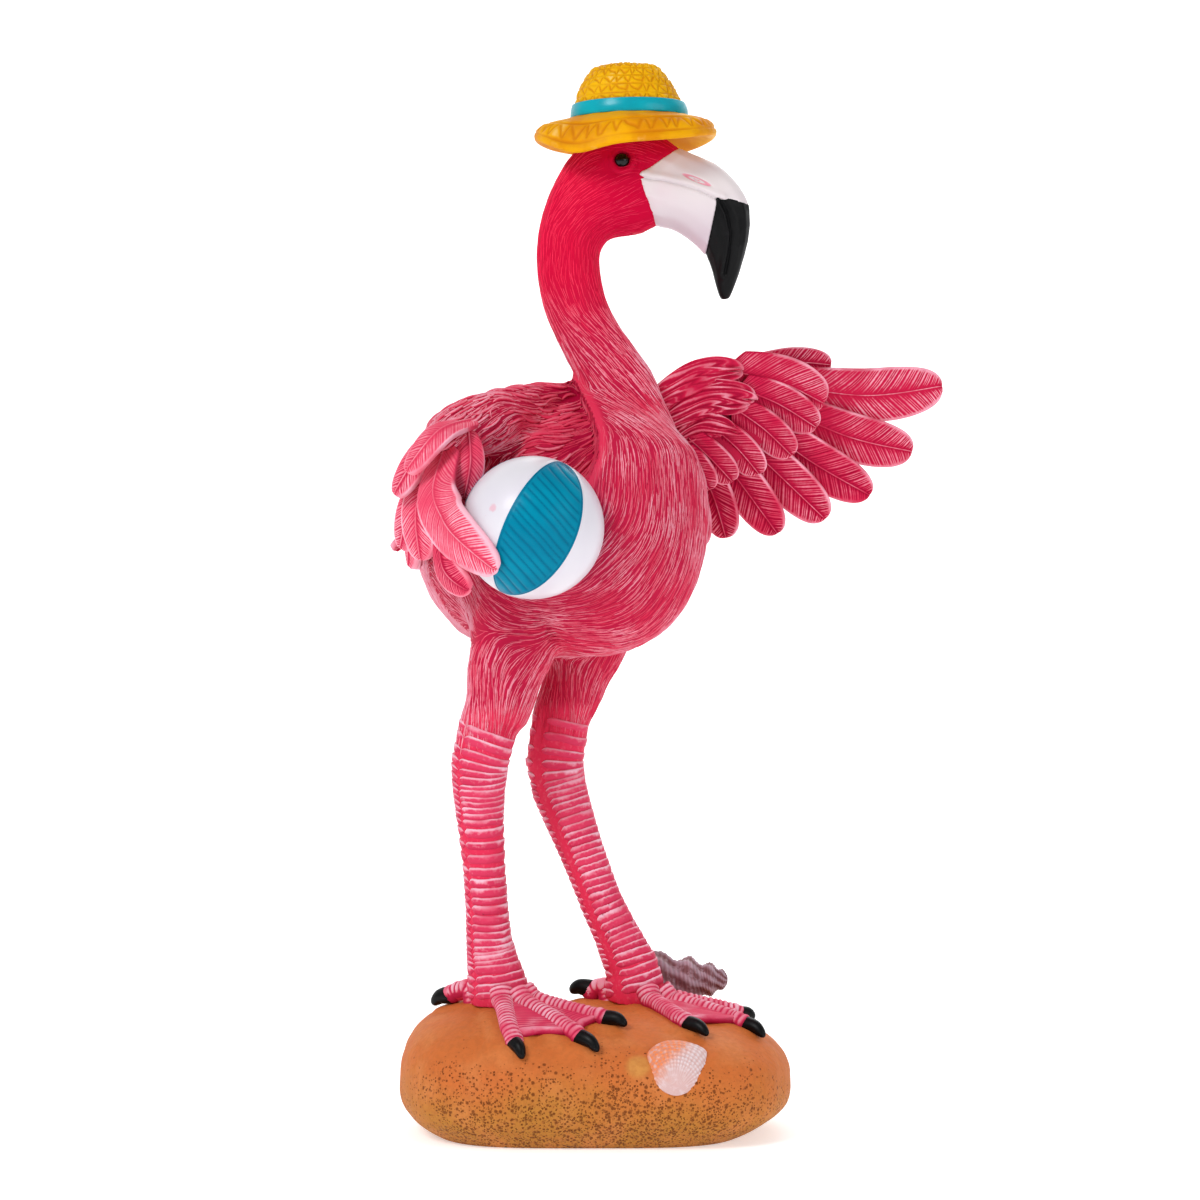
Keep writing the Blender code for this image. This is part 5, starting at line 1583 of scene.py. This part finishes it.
def make_scallop():
    facing = unit(np.array([0.13, -0.85, 0.50]))
    aside = unit(np.array([1.0, 0, 0]) - facing * facing[0])
    rise = np.cross(facing, aside)
    rise *= np.sign(rise[2])
    angle = np.linspace(0, 360, 180, endpoint=False)
    known = np.array(SCALLOP_RIM, float)
    reach = np.interp(angle, known[:, 0], known[:, 1])
    reach = np.convolve(np.concatenate([reach[-3:], reach, reach[:3]]), np.ones(7) / 7, "valid")
    turn = np.radians(angle)
    cos, sin = np.cos(turn), np.sin(turn)
    rows, grooves, fades = [], [], []
    rows_at = [(0.96, -2.4)] + [(k, 4.3 * (1 - k ** 2.4) - 0.2) for k in np.linspace(1, 0.02, 100)]
    for share, height in rows_at:
        u, v = share * reach * cos, share * reach * sin
        hinge, spoke = np.hypot(u + 1.5, v + 10.5), np.cos(np.arctan2(u + 1.5, v + 10.5) * 60)
        line = 0.5 + 0.5 * np.cos(math.tau * hinge / 1.15)
        line = line * smooth_step(5, 10, hinge) * (0.75 + 0.25 * spoke) + 0.25 * spoke
        lift = height + 0.24 * line
        rows.append(SCALLOP_CENTRE + aside * u[:, None] + rise * v[:, None] + facing * lift[:, None])
        grooves.append(np.clip(1 - line, 0, 1))
        fades.append(0.42 + 0.075 * u - 0.055 * v)
    colours = ((0.84, 0.24, 0.07), (0.76, 0.64, 0.66), (0.56, 0.27, 0.23))
    scallop = make_piece("scallop_shell", *tube(np.array(rows)),
                         shell_paint("orange and white shell paint", *colours),
                         groove=with_ends(grooves, 0.5, 0.5), fade=with_ends(fades, 0.5, 0.55))
    dress(scallop, "shell", "shell_scallop")


WHELK = [(7, 27, 41.5, 3.5), (13, 26.5, 41.8, 7.6), (20, 26, 41.6, 8.9), (25, 25.6, 41.6, 6.5),
         (29.4, 25.2, 41.6, 7.6), (32.8, 24.9, 41.8, 5.0), (35.6, 24.6, 42, 5.3), (37.5, 24.4, 42, 3.5),
         (39.2, 24.2, 42, 3.3), (40.6, 24, 42, 1.4)]


def make_whelk():
    path = curve(WHELK, 150)
    turn = np.linspace(0, math.tau, 120, endpoint=False)
    along = np.linspace(0, 1, len(path))[:, None]
    rib = 0.5 + 0.5 * np.cos(8 * turn + 26 * along)
    fine = 0.5 + 0.5 * np.cos(math.tau * along * 30 + turn * 3.0)
    radius = path[:, 3:] * (0.92 + 0.1 * rib) - 0.3 * fine
    rows = rings(path[:, :3], sides_of(path[:, :3], (0, 0, 1)), turn, radius, radius)
    colours = ((0.24, 0.095, 0.105), (0.47, 0.33, 0.39), (0.115, 0.035, 0.042))
    whelk = make_piece("whelk_shell", *tube(rows), shell_paint("purple brown shell paint", *colours),
                       groove=with_ends(0.6 * fine + 0.4 * (1 - rib), 0.5, 0.5),
                       fade=with_ends(0.12 + 0.4 * rib, 0.4, 0.4))
    dress(whelk, "grape", "shell_whelk")


make_scallop()
make_whelk()


# ---- the coat's map ----
def unwrapped_roots():
    """Where each tuft's root lies on an unwrap of the skin, simplified for this."""
    plain = bpy.data.objects.new("plain_skin", skin.data.copy())
    bpy.context.scene.collection.objects.link(plain)
    apply(plain, "DECIMATE", ratio=0.04)
    bpy.ops.object.mode_set(mode="EDIT")
    bpy.ops.mesh.select_all(action="SELECT")
    bpy.ops.uv.smart_project(angle_limit=math.radians(70), island_margin=0.004)
    bpy.ops.object.mode_set(mode="OBJECT")
    mesh = plain.data
    mesh.calc_loop_triangles()
    flat = mesh.uv_layers.active.data
    points = points_of(mesh)
    tree = BVHTree.FromPolygons(points.tolist(), [list(t.vertices) for t in mesh.loop_triangles])
    places = np.empty((len(ROOTS), 2))
    for i, root in enumerate(ROOTS):
        spot, _, face, _ = tree.find_nearest(Vector(root))
        triangle = mesh.loop_triangles[face]
        corners = [Vector(points[v]) for v in triangle.vertices]
        there = [flat[k].uv.to_3d() for k in triangle.loops]
        places[i] = barycentric_transform(spot, *corners, *there)[:2]
    bpy.data.objects.remove(plain)
    return places


PATCH = 0.003                   # how wide a tuft is on the map


def lay_out_coat():
    """Give every coat piece its map: each tuft is a small patch at its root's place."""
    places = unwrapped_roots()
    meshes = [obj.data for obj in bpy.context.scene.objects if obj.type == "MESH"]
    for mesh in [mesh for mesh in meshes if "root" in mesh.attributes]:
        number = read_all(mesh.attributes["root"].data, "value")
        corner = read_all(mesh.loops, "vertex_index", np.int32)
        start = read_all(mesh.polygons, "loop_start", np.int32)
        tuft = np.minimum.reduceat(number[corner].astype(int), start)
        tuft = np.repeat(tuft, np.diff(np.append(start, len(corner))))
        names, tuft = np.unique(tuft, return_inverse=True)
        points = points_of(mesh)[corner]
        count = np.bincount(tuft)[:, None]
        middle = np.column_stack([np.bincount(tuft, points[:, k]) for k in range(3)]) / count
        local = points - middle[tuft]
        squares = np.stack([np.bincount(tuft, local[:, i] * local[:, j]) for i in range(3)
                            for j in range(3)], axis=1).reshape(-1, 3, 3)
        axes = np.linalg.eigh(squares)[1][:, :, ::-1]
        order = np.argsort(tuft, kind="stable")
        first = np.searchsorted(tuft[order], np.arange(len(names)))
        spot = np.empty((len(corner), 2))
        for k in range(2):
            along = (local * axes[tuft, :, k]).sum(axis=1)
            low = np.minimum.reduceat(along[order], first)
            high = np.maximum.reduceat(along[order], first)
            spot[:, k] = (along - low[tuft]) / np.maximum(high - low, 1e-6)[tuft] - 0.5
        layer = mesh.uv_layers.new(name="OFBake")
        layer.data.foreach_set("uv", (places[names][tuft] + spot * PATCH).astype(np.float32).ravel())
        mesh.attributes.remove(mesh.attributes["root"])


lay_out_coat()


# ---- stage, light and camera ----
FLOOR_REACH = 3000.0
FLOOR_BACK = 900.0              # where the floor starts to bend up into the wall
WALL_BEND = 400.0


def make_stage():
    g = Paint("pale studio paper", Base_Color=(0.9, 0.9, 0.91), Roughness=0.9, Specular_IOR_Level=0.1,
              Emission_Color=(1, 1, 1), Emission_Strength=0.45)
    profile = [(-FLOOR_REACH, 0.0)]
    for angle in np.linspace(0, math.pi / 2, 24):
        profile.append((FLOOR_BACK + WALL_BEND * math.sin(angle), WALL_BEND * (1 - math.cos(angle))))
    profile.append((FLOOR_BACK + WALL_BEND, FLOOR_REACH))
    rows = np.array([[(x, y, z) for y, z in profile] for x in (-FLOOR_REACH, FLOOR_REACH)])
    index = np.arange(rows.shape[0] * rows.shape[1]).reshape(rows.shape[:2])
    quads = np.stack([index[0, :-1], index[1, :-1], index[1, 1:], index[0, 1:]], axis=-1)
    floor = make_piece("studio_floor", rows.reshape(-1, 3), [quads], g.material)


def area_light(name, place, size, power):
    """A round lamp that shines at the middle of the figurine; its place and size are in metres."""
    light = bpy.data.lights.new(name, "AREA")
    light.shape = "DISK"
    light.size = size
    light.energy = power
    obj = bpy.data.objects.new(name, light)
    obj.location = place
    obj.rotation_euler = (Vector((0, 0, 0.16)) - Vector(place)).to_track_quat("-Z", "Y").to_euler()
    bpy.context.scene.collection.objects.link(obj)


def make_light():
    world = bpy.data.worlds.new("studio")
    bpy.context.scene.world = world
    world.use_nodes = True
    background = world.node_tree.nodes["Background"]
    background.inputs["Color"].default_value = (1, 1, 1, 1)
    background.inputs["Strength"].default_value = 0.42
    area_light("key", (-0.75, -1.0, 1.1), 0.55, 12.0)
    area_light("fill", (1.0, -0.9, 0.6), 0.9, 4.0)
    area_light("back", (0.3, 1.0, 1.2), 0.8, 5.0)


def make_camera():
    data = bpy.data.cameras.new("camera")
    data.lens = 100.0
    data.sensor_width = 36.0
    obj = bpy.data.objects.new("camera", data)
    obj.location = (0.0015, -1.0, 0.1586)
    obj.rotation_euler = (math.pi / 2, 0, 0)
    bpy.context.scene.collection.objects.link(obj)
    bpy.context.scene.camera = obj


make_stage()
make_light()
make_camera()
bpy.context.scene.view_settings.view_transform = "Standard"
